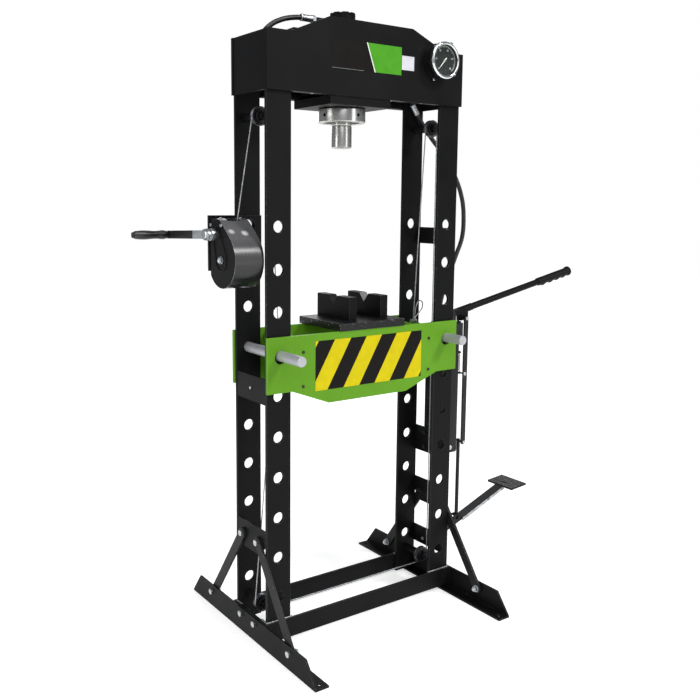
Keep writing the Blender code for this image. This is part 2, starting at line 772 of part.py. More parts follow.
def make_top_nut(centre):
    low = top_neck + GAP
    high = top_neck + TOP_NUT_HEIGHT
    bore = bore_for(TOP_THREAD_RADIUS, 32)
    profile = [(bore, low), (TOP_NUT_RADIUS, low), (TOP_NUT_RADIUS, high), (bore, high)]
    nut = solid("cylinder_top_nut", lathe(profile, centre, Z, 32), "black_paint", centre)
    for i in range(4):
        turn = math.pi * i / 4
        along = Vector((math.cos(turn), math.sin(turn), 0.0))
        across = Vector((-math.sin(turn), math.cos(turn), 0.0))
        slot = rect(-TOP_NUT_RADIUS * 1.2, -TOP_NUT_SLOT / 2, TOP_NUT_RADIUS * 1.2, TOP_NUT_SLOT / 2)
        place = Vector(centre) + Z * (high - TOP_NUT_SLOT_DEPTH)
        cut(nut, prism([slot], TOP_NUT_SLOT_DEPTH * 2, place, along, across))


def make_ram(centre):
    bore = BARREL_BORE - GAP * 2
    groove = ram_low + RAM_GROOVE_UP
    piston = ram_top - PISTON_HEIGHT
    chamfer = RAM_CHAMFER
    groove_floor = RAM_RADIUS - chamfer / 2
    profile = [(0.0, ram_low), (RAM_RADIUS - chamfer, ram_low), (RAM_RADIUS, ram_low + chamfer),
               (RAM_RADIUS, groove), (groove_floor, groove + chamfer / 2),
               (groove_floor, groove + chamfer), (RAM_RADIUS, groove + chamfer * 1.5),
               (RAM_RADIUS, piston), (bore, piston), (bore, ram_top), (RAM_BORE, ram_top),
               (RAM_BORE, ram_low + RAM_FLOOR), (0.0, ram_low + RAM_FLOOR)]
    solid("ram", lathe(profile, centre, Z, 24), "bright_steel", centre)
    low = ram_low + RAM_FLOOR + GAP
    length = bore_top - GAP - low
    place = (CYLINDER_X, 0.0, low)
    points = coil(place, length, RAM_SPRING_RADIUS, RAM_SPRING_WIRE, RAM_SPRING_TURNS)
    print("ram spring least gap mm", round(least_gap(points, RAM_SPRING_WIRE, 8) * 1000, 2))
    tube("ram_return_spring", points, RAM_SPRING_WIRE, "dark_steel", 1)


def make_bed():
    half = post_out + BED_OVERHANG
    shoulder = BED_FLAT + BED_SLOPE
    side_low = bed_top - BED_SIDE
    right = [(BED_FLAT, bed_top - BED_DEEP), (shoulder, side_low), (half, side_low), (half, bed_top)]
    outline = right + [(-a, b) for a, b in reversed(right)]
    holes = []
    for side, sx in SIDES:
        holes.append(circle(sx * post_x, bed_hole_z, BED_HOLE_RADIUS, 20))
        holes.append(circle(sx * spacer_x, bed_top - SPACER_BOLT_HIGH, SPACER_BOLT, 10))
        holes.append(circle(sx * spacer_x, bed_top - SPACER_BOLT_LOW, SPACER_BOLT, 10))
    for row, sy in ROWS:
        back = max(sy * bed_inner, sy * (bed_inner + BED_PLATE))
        plate = prism([outline] + holes, BED_PLATE, (0.0, back, 0.0), X, Z)
        solid(f"bed_{row}_plate", plate, "green_paint")
    for side, sx in SIDES:
        make_spacer(side, sx)


def make_spacer(side, sx):
    reach = bed_inner - GAP
    low = lug_top - SPACER_HEIGHT
    near = spacer_x - SPACER_THICK / 2
    left = min(sx * near, sx * spacer_out)
    right = max(sx * near, sx * spacer_out)
    spacer = solid(f"bed_{side}_spacer", box((left, -reach, low), (right, reach, lug_top)), "green_paint")
    inner = sx * (spacer_out - WELD_BITE)
    outer = sx * (spacer_out + LUG_REACH)
    loops = [rect(min(inner, outer), -LUG_WIDTH / 2, max(inner, outer), LUG_WIDTH / 2)]
    loops.append(circle(sx * rope_hole_x, 0.0, ROPE_RADIUS + ROPE_HOLE_ROOM, 10))
    if side == "left":
        loops.append(circle(-far_rope_hole_x, 0.0, ROPE_RADIUS + ROPE_HOLE_ROOM, 10))
    join(spacer, prism(loops, LUG_THICK, (0.0, 0.0, lug_top - LUG_THICK - FLUSH_STEP), X, Y))


def make_pins_and_tooling():
    end = PIN_RADIUS - PIN_CHAMFER
    for side, sx in SIDES:
        front = LEFT_PIN_FRONT if side == "left" else RIGHT_PIN_FRONT
        place = (sx * post_x, front, pin_z)
        profile = [(0.0, 0.0), (end, 0.0), (PIN_RADIUS, PIN_CHAMFER),
                   (PIN_RADIUS, PIN_LENGTH - PIN_CHAMFER), (end, PIN_LENGTH), (0.0, PIN_LENGTH)]
        solid(f"{side}_pin", lathe(profile, place, Y, 24), "zinc", place)
    half_x = PRESS_PLATE_LENGTH / 2
    half_y = PRESS_PLATE_DEPTH / 2
    place = (PRESS_PLATE_X, PRESS_PLATE_Y, bed_top + GAP)
    plate = prism([rect(-half_x, -half_y, half_x, half_y)], PRESS_PLATE_THICK, place, X, Y)
    solid("press_plate", plate, "black_paint", place)
    half = BLOCK_LENGTH / 2
    notch = NOTCH_WIDTH / 2
    outline = [(-half, 0.0), (half, 0.0), (half, BLOCK_HEIGHT), (notch, BLOCK_HEIGHT),
               (0.0, BLOCK_HEIGHT - NOTCH_DEPTH), (-notch, BLOCK_HEIGHT), (-half, BLOCK_HEIGHT)]
    for side, middle in (("left", LEFT_BLOCK_X), ("right", RIGHT_BLOCK_X)):
        place = (middle - BLOCK_THICK / 2, BLOCK_Y, plate_top + GAP)
        solid(f"{side}_v_block", prism([outline], BLOCK_THICK, place, Y, Z), "black_paint", place)


def involute_angle(count, radius, base):
    radius = max(radius, base)
    opening = math.acos(base / radius)
    spread = math.tan(PRESSURE_ANGLE) - PRESSURE_ANGLE - math.tan(opening) + opening
    return TOOTH_SHARE * math.pi / (2 * count) + spread


def gear_outline(count, start, steps):
    pitch = GEAR_MODULE * count / 2
    base = pitch * math.cos(PRESSURE_ANGLE)
    root = pitch - TOOTH_ROOT * GEAR_MODULE
    tip = pitch + TOOTH_TIP * GEAR_MODULE
    radii = [root + (tip - root) * i / steps for i in range(steps + 1)]
    points = []
    for tooth in range(count):
        middle = start + 2 * math.pi * tooth / count
        flank = [(r, involute_angle(count, r, base)) for r in radii]
        points += [(r, middle - half) for r, half in flank]
        points += [(r, middle + half) for r, half in reversed(flank)]
    return [(r * math.cos(t), r * math.sin(t)) for r, t in points]


def make_winch_frame():
    back = winch_plate_y
    outline = rect(winch_plate_left, WINCH_PLATE_LOW, -post_in, WINCH_PLATE_HIGH)
    plate = prism([outline], WINCH_PLATE_THICK, (0.0, back, 0.0), X, Z)
    mount = solid("winch_mount_plate", plate, "black_paint")
    for i in range(HOLE_COUNT - 2, HOLE_COUNT):
        start = (-post_x, back - WINCH_PLATE_THICK * 2, FIRST_HOLE + HOLE_PITCH * i)
        cut(mount, rod(HOLE_RADIUS + WINCH_HOLE_ROOM, start, Y, WINCH_PLATE_THICK * 3, 16))
    low = WINCH_PLATE_LOW + CHEEK_THICK
    high = WINCH_PLATE_HIGH - CHEEK_THICK * 2
    base_front = winch_base_y - WINCH_BASE_THICK
    right = right_cheek_x + CHEEK_THICK
    base = box((left_cheek_x, base_front, low), (right, winch_base_y, high))
    frame = solid("winch_frame", base, "dark_steel")
    rim = DRUM_SHAFT * 2
    root = base_front + WELD_BITE
    cheek = [(root, low + FLUSH_STEP), (root, crank_z + rim / 2)]
    cheek += arc(crank_y, crank_z, rim, math.radians(60), math.radians(150), 4)
    cheek += arc(DRUM_Y, DRUM_Z, rim, math.radians(150), math.radians(270), 6)
    holes = [circle(DRUM_Y, DRUM_Z, bore_for(DRUM_SHAFT, 16), 16)]
    holes.append(circle(crank_y, crank_z, bore_for(CRANK_SHAFT, 16), 16))
    for left in (left_cheek_x + FLUSH_STEP, right_cheek_x):
        join(frame, prism([cheek] + holes, CHEEK_THICK - FLUSH_STEP, (left, 0.0, 0.0), Y, Z))


def cover_outline(shrink, back):
    big = COVER_RADIUS - shrink
    small = COVER_TOP_RADIUS - shrink
    span = math.hypot(crank_y - DRUM_Y, crank_z - DRUM_Z)
    lean = math.atan2(crank_z - DRUM_Z, crank_y - DRUM_Y)
    wrap = math.acos((big - small) / span)
    last = math.acos(max(-1.0, min(1.0, (back - DRUM_Y) / big)))
    first = math.acos(max(-1.0, min(1.0, (back - crank_y) / small)))
    points = arc(crank_y, crank_z, small, first, lean + wrap, 8)
    points += arc(DRUM_Y, DRUM_Z, big, lean + wrap, 2 * math.pi - last, 16)
    return points


def make_winch_cover():
    width = cover_right - cover_left
    shell = prism([cover_outline(0.0, cover_back)], width, (cover_left, 0.0, 0.0), Y, Z)
    cover = solid("winch_cover", shell, "black_paint")
    inside = cover_outline(COVER_WALL, cover_back)
    grown = [(cover_back + COVER_WALL, inside[-1][1]), (cover_back + COVER_WALL, inside[0][1])]
    cut(cover, prism([inside + grown], width, (cover_left + COVER_WALL, 0.0, 0.0), Y, Z))
    for y, z, radius in ((DRUM_Y, DRUM_Z, DRUM_SHAFT), (crank_y, crank_z, CRANK_SHOULDER)):
        cut(cover, rod(bore_for(radius, 16), (cover_left - COVER_WALL, y, z), X, COVER_WALL * 3, 16))
    reach = DRUM_CORE + ROPE_RADIUS * 2
    low = (winch_x - DRUM_CORE, DRUM_Y + reach / 4, crank_z)
    high = (winch_x + DRUM_CORE, DRUM_Y + reach * 1.5, crank_z + COVER_RADIUS)
    cut(cover, box(low, high))


def make_winch_works():
    axis = (0.0, DRUM_Y, DRUM_Z)
    left = drum_left + DRUM_FLANGE_THICK
    right = drum_right - DRUM_FLANGE_THICK
    gear_right = gear_left + GEAR_WIDTH
    profile = [(0.0, drum_shaft_left), (DRUM_SHAFT, drum_shaft_left), (DRUM_SHAFT, gear_left + WELD_BITE),
               (DRUM_CORE, gear_left + WELD_BITE), (DRUM_CORE, drum_left), (DRUM_FLANGE, drum_left),
               (DRUM_FLANGE, left), (DRUM_CORE, left), (DRUM_CORE, right), (DRUM_FLANGE, right),
               (DRUM_FLANGE, drum_right), (DRUM_SHAFT, drum_right), (DRUM_SHAFT, drum_shaft_right),
               (0.0, drum_shaft_right)]
    drum = solid("winch_drum", lathe(profile, axis, X, 20), "dark_steel", axis)
    hole = circle(0.0, 0.0, DRUM_CORE - WELD_BITE, 20)
    teeth = gear_outline(GEAR_TEETH, CRANK_ANGLE, 1)
    join(drum, prism([teeth, hole], GEAR_WIDTH, (gear_left, DRUM_Y, DRUM_Z), Y, Z))
    axis = (0.0, crank_y, crank_z)
    arm_right = crank_arm_left + CRANK_ARM_THICK + GAP
    cheek_left = left_cheek_x - GAP
    end = right_cheek_x + CHEEK_THICK + CRANK_SHAFT_TAIL
    profile = [(0.0, crank_shaft_left), (CRANK_SHAFT, crank_shaft_left), (CRANK_SHAFT, arm_right),
               (CRANK_SHOULDER, arm_right), (CRANK_SHOULDER, cheek_left), (CRANK_SHAFT, cheek_left),
               (CRANK_SHAFT, end), (0.0, end)]
    shaft = solid("crank_shaft", lathe(profile, axis, X, 12), "zinc", axis)
    start = CRANK_ANGLE + math.pi + math.pi / PINION_TEETH
    teeth = gear_outline(PINION_TEETH, start, 3)
    hole = circle(0.0, 0.0, CRANK_SHAFT - WELD_BITE, 12)
    join(shaft, prism([teeth, hole], GEAR_WIDTH, (gear_left, crank_y, crank_z), Y, Z))
    make_crank(axis)


def make_crank(axis):
    far_y = crank_y + CRANK_ARM_LENGTH * math.cos(CRANK_ARM_DROP)
    far_z = crank_z - CRANK_ARM_LENGTH * math.sin(CRANK_ARM_DROP)
    outline = stadium(crank_y, crank_z, far_y, far_z, CRANK_ARM_RADIUS, 8)
    hole = circle(crank_y, crank_z, bore_for(CRANK_SHAFT, 16), 16)
    bar = prism([outline, hole], CRANK_ARM_THICK, (crank_arm_left, 0.0, 0.0), Y, Z)
    arm = solid("crank_arm", bar, "zinc", axis)
    grip_start = CRANK_ARM_THICK / 2 + GAP
    stop = grip_start + GRIP_LENGTH + GAP
    profile = [(0.0, 0.0), (GRIP_PIN, 0.0), (GRIP_PIN, stop), (GRIP_PIN_HEAD, stop),
               (GRIP_PIN_HEAD, stop + CRANK_ARM_THICK / 2), (0.0, stop + CRANK_ARM_THICK / 2)]
    middle = (crank_arm_left + CRANK_ARM_THICK / 2, far_y, far_z)
    join(arm, lathe(profile, middle, -X, 16))
    bore = bore_for(GRIP_PIN, 20)
    waist = GRIP_RADIUS * 0.86
    end = grip_start + GRIP_LENGTH
    profile = [(bore, grip_start), (waist, grip_start), (GRIP_RADIUS, grip_start + GRIP_LENGTH * 0.12),
               (waist, grip_start + GRIP_LENGTH * 0.35), (GRIP_RADIUS, grip_start + GRIP_LENGTH * 0.7),
               (waist, end - GRIP_LENGTH * 0.05), (GRIP_RADIUS * 0.7, end), (bore, end)]
    solid("crank_grip", lathe(profile, middle, -X, 20), "black_plastic", middle)


def make_pulleys():
    half = PULLEY_WIDTH / 2
    groove = PULLEY_PITCH - ROPE_RADIUS - GAP
    lip = ROPE_RADIUS + GAP
    bore = bore_for(STUD_RADIUS, 14)
    profile = [(bore, -half), (PULLEY_RADIUS, -half), (PULLEY_RADIUS, -half * 0.75), (groove, -lip),
               (groove, lip), (PULLEY_RADIUS, half * 0.75), (PULLEY_RADIUS, half), (bore, half)]
    for side, sx in SIDES:
        for level, x, z in (("top", top_pulley_x, top_pulley_z), ("low", low_pulley_x, LOW_PULLEY_Z)):
            place = (sx * x, 0.0, z)
            solid(f"{level}_{side}_pulley", lathe(profile, place, Y, 14), "zinc", place)


def touch(point, centre, side):
    da = point[0] - centre[0]
    db = point[1] - centre[1]
    return math.atan2(db, da) + side * math.acos(PULLEY_PITCH / math.hypot(da, db))


def over(centre, start, end, steps):
    return [(a, 0.0, b) for a, b in arc(centre[0], centre[1], PULLEY_PITCH, start, end, steps)]


def run(start, end, steps):
    return [tuple(s + (e - s) * i / steps for s, e in zip(start, end)) for i in range(1, steps)]


def make_ropes():
    tail = lug_top - LUG_THICK - ROPE_TAIL
    top_left = (-top_pulley_x, top_pulley_z)
    wind = DRUM_CORE + ROPE_RADIUS + GAP
    around = arc(DRUM_Y, DRUM_Z, wind, -math.pi / 2, 0.0, 6)
    lead = [(winch_x, y, z) for y, z in around]
    start = touch((winch_x, DRUM_Z), top_left, -1) % (2 * math.pi)
    end = touch((-rope_hole_x, lug_top), top_left, 1)
    bend = over(top_left, start, end, 12)
    down = (-rope_hole_x - (bend[-1][0] + rope_hole_x) * ROPE_TAIL / lug_top, 0.0, tail)
    points = lead + run(lead[-1], bend[0], 6) + bend + run(bend[-1], down, 8) + [down]
    tube("winch_cable", points, ROPE_RADIUS, "rope_steel", 2)
    top_right = (top_pulley_x, top_pulley_z)
    low_right = (low_pulley_x, LOW_PULLEY_Z)
    low_left = (-low_pulley_x, LOW_PULLEY_Z)
    lean = math.atan2(top_pulley_x - low_pulley_x, top_pulley_z - LOW_PULLEY_Z)
    start = touch((rope_hole_x, lug_top), top_right, -1) % (2 * math.pi)
    first = over(top_right, start, -lean, 12)
    second = over(low_right, -lean, -math.pi / 2, 6)
    slant = (low_pulley_x + PULLEY_PITCH - far_rope_hole_x) / (lug_top - LOW_PULLEY_Z)
    peak = (slant * (ROPE_TAIL + LUG_THICK / 2) - far_rope_hole_x, lug_top + ROPE_TAIL)
    finish = touch(peak, low_left, 1) % (2 * math.pi)
    third = over(low_left, 3 * math.pi / 2, finish, 6)
    begin = (rope_hole_x, 0.0, tail)
    last = (peak[0], 0.0, peak[1])
    points = [begin] + run(begin, first[0], 8) + first + run(first[-1], second[0], 10) + second
    points += run(second[-1], third[0], 6) + third + run(third[-1], last, 8) + [last]
    tube("levelling_cable", points, ROPE_RADIUS, "rope_steel", 2)


def make_gauge():
    place = (gauge_x, -head_face, gauge_z)
    rim = GAUGE_CASE - GAUGE_WALL
    seat = GAP + GAUGE_WALL
    profile = [(0.0, -GAUGE_STEM_LENGTH), (GAUGE_STEM, -GAUGE_STEM_LENGTH), (GAUGE_STEM, GAP),
               (GAUGE_FLANGE, GAP), (GAUGE_FLANGE, seat), (GAUGE_CASE, seat), (GAUGE_CASE, GAUGE_DEPTH),
               (rim, GAUGE_DEPTH), (rim, DIAL_DEPTH), (0.0, DIAL_DEPTH)]
    solid("gauge_case", lathe(profile, place, -Y, 24), "black_paint")
    low = GAUGE_DEPTH + GAP
    high = low + GLASS_THICK
    glass = [(0.0, low), (GAUGE_CASE, low), (GAUGE_CASE, high), (0.0, high)]
    solid("gauge_glass", lathe(glass, place, -Y, 24), "clear_glass")
    under = high + GAP
    back = GAUGE_DEPTH - GAUGE_WALL * 2
    lip = BEZEL_LIP
    seat = bore_for(GAUGE_CASE, 24)
    ring = [(seat, back), (GAUGE_BEZEL, back), (GAUGE_BEZEL, under), (GAUGE_BEZEL - lip, under + lip),
            (BEZEL_OPENING, under + lip), (BEZEL_OPENING, under), (seat, under)]
    solid("gauge_bezel", lathe(ring, place, -Y, 24), "chrome")
    hub = (gauge_x, -head_face - DIAL_DEPTH - GAP, gauge_z)
    needle = solid("gauge_needle", rod(NEEDLE_HUB, hub, -Y, NEEDLE_HUB, 16), "white_paint", hub)
    along = Vector((math.cos(NEEDLE_REST), 0.0, math.sin(NEEDLE_REST)))
    across = Vector((-math.sin(NEEDLE_REST), 0.0, math.cos(NEEDLE_REST)))
    wide = NEEDLE_HUB / 2
    blade = [(-NEEDLE_TAIL, -wide), (NEEDLE_LENGTH * 0.6, -wide / 2), (NEEDLE_LENGTH, 0.0),
             (NEEDLE_LENGTH * 0.6, wide / 2), (-NEEDLE_TAIL, wide)]
    join(needle, prism([blade], NEEDLE_HUB / 3, Vector(hub) - Y * NEEDLE_HUB / 2, along, across))
    low = Vector((manifold_left, stem_end + GAP, manifold_low))
    high = low + Vector((MANIFOLD_LENGTH, MANIFOLD_DEPTH, MANIFOLD_HEIGHT))
    solid("hose_manifold", box(low, high), "dark_steel")


def make_hoses():
    drop_x = manifold_left + MANIFOLD_LENGTH * 0.7
    drop_y = stem_end + MANIFOLD_DEPTH * 0.86
    out = post_out
    foot = block_top
    head = HEAD_BOTTOM
    route = [(out + 0.047, 0.027, foot + GAP), (out + 0.047, 0.027, foot + 0.030),
             (out + 0.051, 0.025, foot + 0.075), (out + 0.067, 0.018, foot + 0.137),
             (out + 0.093, 0.006, foot + 0.219), (out + 0.117, 0.002, foot + 0.282),
             (out + 0.1225, 0.002, head - 0.355), (out + 0.117, 0.006, head - 0.288),
             (out + 0.097, 0.018, head - 0.219), (out + 0.069, 0.036, head - 0.163),
             (out + 0.047, 0.052, head - 0.119), (out + 0.028, 0.060, head - 0.094),
             (out - 0.008, 0.066, head - 0.050), (out - 0.047, 0.064, head),
             (out - 0.069, 0.050, head + 0.047), (drop_x, drop_y, manifold_low - 0.036),
             (drop_x, drop_y, manifold_low - 0.018), (drop_x, drop_y, manifold_low - GAP)]
    tube("pump_hose", smooth_route(route, 2), HOSE_RADIUS, "rubber", 2)
    entry_x = manifold_left + MANIFOLD_LENGTH * 0.2
    entry_y = stem_end + MANIFOLD_DEPTH * 0.76
    beside = head_inner - RAIL_WIDTH + WELD_BITE * 2
    end = nipple_end
    # the loop swings out as far as the end wall of the head leaves room for
    swing = end + post_out - END_PLATE - HOSE_LOOP_ROOM
    route = [(end - GAP, 0.0, nipple_z), (end - swing * 0.26, 0.0, nipple_z),
             (end - swing * 0.54, 0.0, nipple_z - 0.009), (end - swing * 0.78, 0.0, nipple_z - 0.028),
             (end - swing * 0.94, 0.004, nipple_z - 0.056),
             (end - swing, 0.012, nipple_z - 0.089), (end - swing * 0.96, 0.028, nipple_z - 0.124),
             (end - swing * 0.76, 0.048, nipple_z - 0.152), (end - swing * 0.46, 0.064, nipple_z - 0.169),
             (end - swing * 0.05, 0.074, nipple_z - 0.176), (end + 0.073, beside, nipple_z - 0.176),
             (end + 0.183, beside, nipple_z - 0.174), (entry_x - 0.156, beside, manifold_low - 0.063),
             (entry_x - 0.109, beside, manifold_low - 0.065),
             (entry_x - 0.085, entry_y + 0.055, manifold_low - 0.066),
             (entry_x - 0.063, entry_y + 0.044, manifold_low - 0.066),
             (entry_x - 0.041, entry_y + 0.029, manifold_low - 0.066),
             (entry_x - 0.0205, entry_y + 0.0144, manifold_low - 0.0593),
             (entry_x - 0.0055, entry_y + 0.0039, manifold_low - 0.041),
             (entry_x, entry_y, manifold_low - 0.018), (entry_x, entry_y, manifold_low - 0.009),
             (entry_x, entry_y, manifold_low - GAP)]
    tube("cylinder_hose", smooth_route(route, 2), HOSE_RADIUS, "rubber", 2)


def make_pump_body():
    half = post_back - GAP
    outline = rect(-half, PUMP_PLATE_LOW, half, PUMP_PLATE_LOW + PUMP_PLATE_HEIGHT)
    plate = prism([outline], TIE_THICK, (post_out - TIE_THICK, 0.0, 0.0), Y, Z)
    solid("pump_plate", plate, "black_paint")
    low = (post_out + GAP, -TANK_WIDTH / 2, TANK_LOW)
    tank = solid("pump_tank", box(low, (tank_out, TANK_WIDTH / 2, tank_top)), "black_paint")
    round_edges(tank, TANK_ROUND, 2)
    start = (tank_out - TANK_ROUND, MECHANISM_Y, SPRING_TOP_Z)
    join(tank, rod(SPRING_STUD, start, X, spring_x + SPRING_STUD * 1.5 - start[0], 10))
    low = (block_left, BLOCK_FRONT, tank_top + GAP)
    block = solid("pump_block", box(low, (block_right, BLOCK_BACK, block_top)), "dark_steel")
    ear = [(lever_x - EAR_RADIUS, block_top - WELD_BITE), (lever_x + EAR_RADIUS, block_top - WELD_BITE)]
    ear += arc(lever_x, lever_z, EAR_RADIUS, 0.0, math.pi, 8)
    for back in (MECHANISM_Y - ear_in, MECHANISM_Y + ear_in + EAR_THICK):
        join(block, prism([ear], EAR_THICK, (0.0, back, 0.0), X, Z))
    reach = ear_in + EAR_THICK + WELD_BITE
    join(block, rod(LEVER_PIN, (lever_x, MECHANISM_Y - reach, lever_z), Y, reach * 2, 14))
    bottom = (plunger_x, MECHANISM_Y, block_top - PLUNGER_BORE_DEPTH)
    cut(block, rod(bore_for(PLUNGER_RADIUS, 16), bottom, Z, PLUNGER_BORE_DEPTH * 2, 16))
    place = (plunger_x, MECHANISM_Y, plunger_top - PLUNGER_LENGTH)
    solid("pump_plunger", rod(PLUNGER_RADIUS, place, Z, PLUNGER_LENGTH, 16), "bright_steel", place)
    place = (knob_x, BLOCK_BACK + GAP, block_top - PUMP_BLOCK_HEIGHT / 2)
    stem = KNOB_RADIUS
    profile = [(0.0, 0.0), (KNOB_STEM, 0.0), (KNOB_STEM, stem), (KNOB_RADIUS, stem),
               (KNOB_RADIUS, stem * 2.2), (0.0, stem * 2.2)]
    knob = solid("release_knob", lathe(profile, place, Y, 16), "black_plastic", place)
    wing = rect(-KNOB_RADIUS * 1.4, -KNOB_STEM / 2, KNOB_RADIUS * 1.4, KNOB_STEM / 2)
    join(knob, prism([wing], stem, Vector(place) + Y * stem * 2.1, X, Z))


def make_lever():
    pivot = Vector((lever_x, MECHANISM_Y, lever_z))
    along = Vector((math.cos(LEVER_ANGLE), 0.0, math.sin(LEVER_ANGLE)))
    up = Vector((-math.sin(LEVER_ANGLE), 0.0, math.cos(LEVER_ANGLE)))
    half = LEVER_EYE_WIDTH / 2
    outline = stadium(0.0, 0.0, SOCKET_START + LEVER_EYE, 0.0, LEVER_EYE, 6)
    hole = circle(0.0, 0.0, bore_for(LEVER_PIN, 14), 14)
    eye = prism([outline, hole], LEVER_EYE_WIDTH, pivot + Y * half, along, up)
    lever = solid("hand_lever", eye, "black_paint", tuple(pivot))
    cap = LEVER_BAR
    end = LEVER_GRIP_END - cap - GAP
    profile = [(0.0, SOCKET_START), (LEVER_SOCKET, SOCKET_START), (LEVER_SOCKET, SOCKET_END),
               (LEVER_BAR, SOCKET_END), (LEVER_BAR, end), (0.0, end)]
    join(lever, lathe(profile, pivot, along, 16))
    shift = link_x - lever_x
    rise = shift * math.tan(LEVER_ANGLE)
    near = shift - LUG_HALF
    far = shift + LUG_HALF * 2.4
    drop = -LINK_TOP_DROP
    lug = [(near, drop - LUG_HALF), (far, drop - LUG_HALF * 0.8), (far, rise), (near, rise - LUG_HALF / 2)]
    slot_radius = LINK_PIN + SLOT_ROOM
    slot = stadium(shift, drop, shift + LEVER_SLOT_X, drop + LEVER_SLOT_Z, slot_radius, 6)
    join(lever, prism([lug, slot], LUG_HALF * 2, pivot + Y * LUG_HALF, X, Z))
    start = LEVER_GRIP_START
    bore = bore_for(LEVER_BAR, 14)
    span = LEVER_GRIP_END - start
    profile = [(bore, start), (LEVER_GRIP_RADIUS * 1.15, start), (LEVER_GRIP_RADIUS * 1.15, start + cap)]
    for i in range(5):
        spot = start + cap + (span - cap * 2) * (i + 0.5) / 5
        profile.append((LEVER_GRIP_RADIUS * 0.92, spot - span * 0.08))
        profile.append((LEVER_GRIP_RADIUS, spot))
    last = LEVER_GRIP_END
    profile += [(LEVER_GRIP_RADIUS * 0.92, last - cap), (LEVER_GRIP_RADIUS * 0.8, last), (0.0, last),
                (0.0, last - cap), (bore, last - cap)]
    solid("lever_grip", lathe(profile, pivot, along, 14), "rubber", tuple(pivot))


def make_link():
    spread = LINK_SPREAD - LINK_BAR_THICK / 2
    outline = stadium(link_x, link_low, link_x, link_top, LINK_BAR_WIDTH / 2, 6)
    place = (0.0, MECHANISM_Y - spread, 0.0)
    bar = prism([outline], LINK_BAR_THICK, place, X, Z)
    link = solid("pedal_link", bar, "zinc", (link_x, MECHANISM_Y, link_top))
    join(link, prism([outline], LINK_BAR_THICK, (0.0, MECHANISM_Y + spread + LINK_BAR_THICK, 0.0), X, Z))
    reach = LINK_SPREAD + LINK_BAR_THICK
    pins = [(link_x, link_top, LINK_PIN), (link_x, link_low, LINK_PIN)]
    pins.append((spring_x, spring_low_z, SPRING_STUD))
    for x, z, radius in pins:
        join(link, rod(radius, (x, MECHANISM_Y - reach, z), Y, reach * 2, 8))
    start = (link_x, MECHANISM_Y, rod_low - ROD_RADIUS)
    join(link, rod(ROD_RADIUS, start, Z, ROD_LENGTH + ROD_RADIUS * 2, 10))
    reach = ROD_RADIUS + PEDAL_LUG_THICK + WELD_BITE * 2
    join(link, rod(LINK_PIN, (link_x, MECHANISM_Y - reach, rod_low), Y, reach * 2, 8))
    low = spring_low_z + SPRING_STUD + GAP
    length = SPRING_TOP_Z - SPRING_STUD - GAP - low
    start = (spring_x - SPRING_RADIUS, MECHANISM_Y, low)
    points = coil(start, length, SPRING_RADIUS, SPRING_WIRE, SPRING_TURNS)
    print("return spring least gap mm", round(least_gap(points, SPRING_WIRE, 8) * 1000, 2))
    tube("return_spring", points, SPRING_WIRE, "zinc", 1)


def make_pedal():
    half = post_back - GAP
    outline = rect(-half, PEDAL_PLATE_LOW, half, PEDAL_PLATE_HIGH)
    plate = prism([outline], TIE_THICK, (post_out - TIE_THICK, 0.0, 0.0), Y, Z)
    bracket = solid("pedal_bracket", plate, "black_paint")
    root = post_out - TIE_THICK / 2
    ear = [(root, PEDAL_PLATE_LOW + WELD_BITE)]
    ear += arc(pedal_x, PEDAL_Z, EAR_RADIUS, -math.pi / 3, math.pi / 2, 8)
    ear.append((root, PEDAL_Z + EAR_RADIUS - WELD_BITE))
    inner = PEDAL_WIDTH / 2 + GAP * 2
    for back in (MECHANISM_Y - inner, MECHANISM_Y + inner + EAR_THICK):
        join(bracket, prism([ear], EAR_THICK, (0.0, back, 0.0), X, Z))
    reach = inner + EAR_THICK + WELD_BITE
    join(bracket, rod(PEDAL_PIN, (pedal_x, MECHANISM_Y - reach, PEDAL_Z), Y, reach * 2, 14))
    make_foot_pedal()


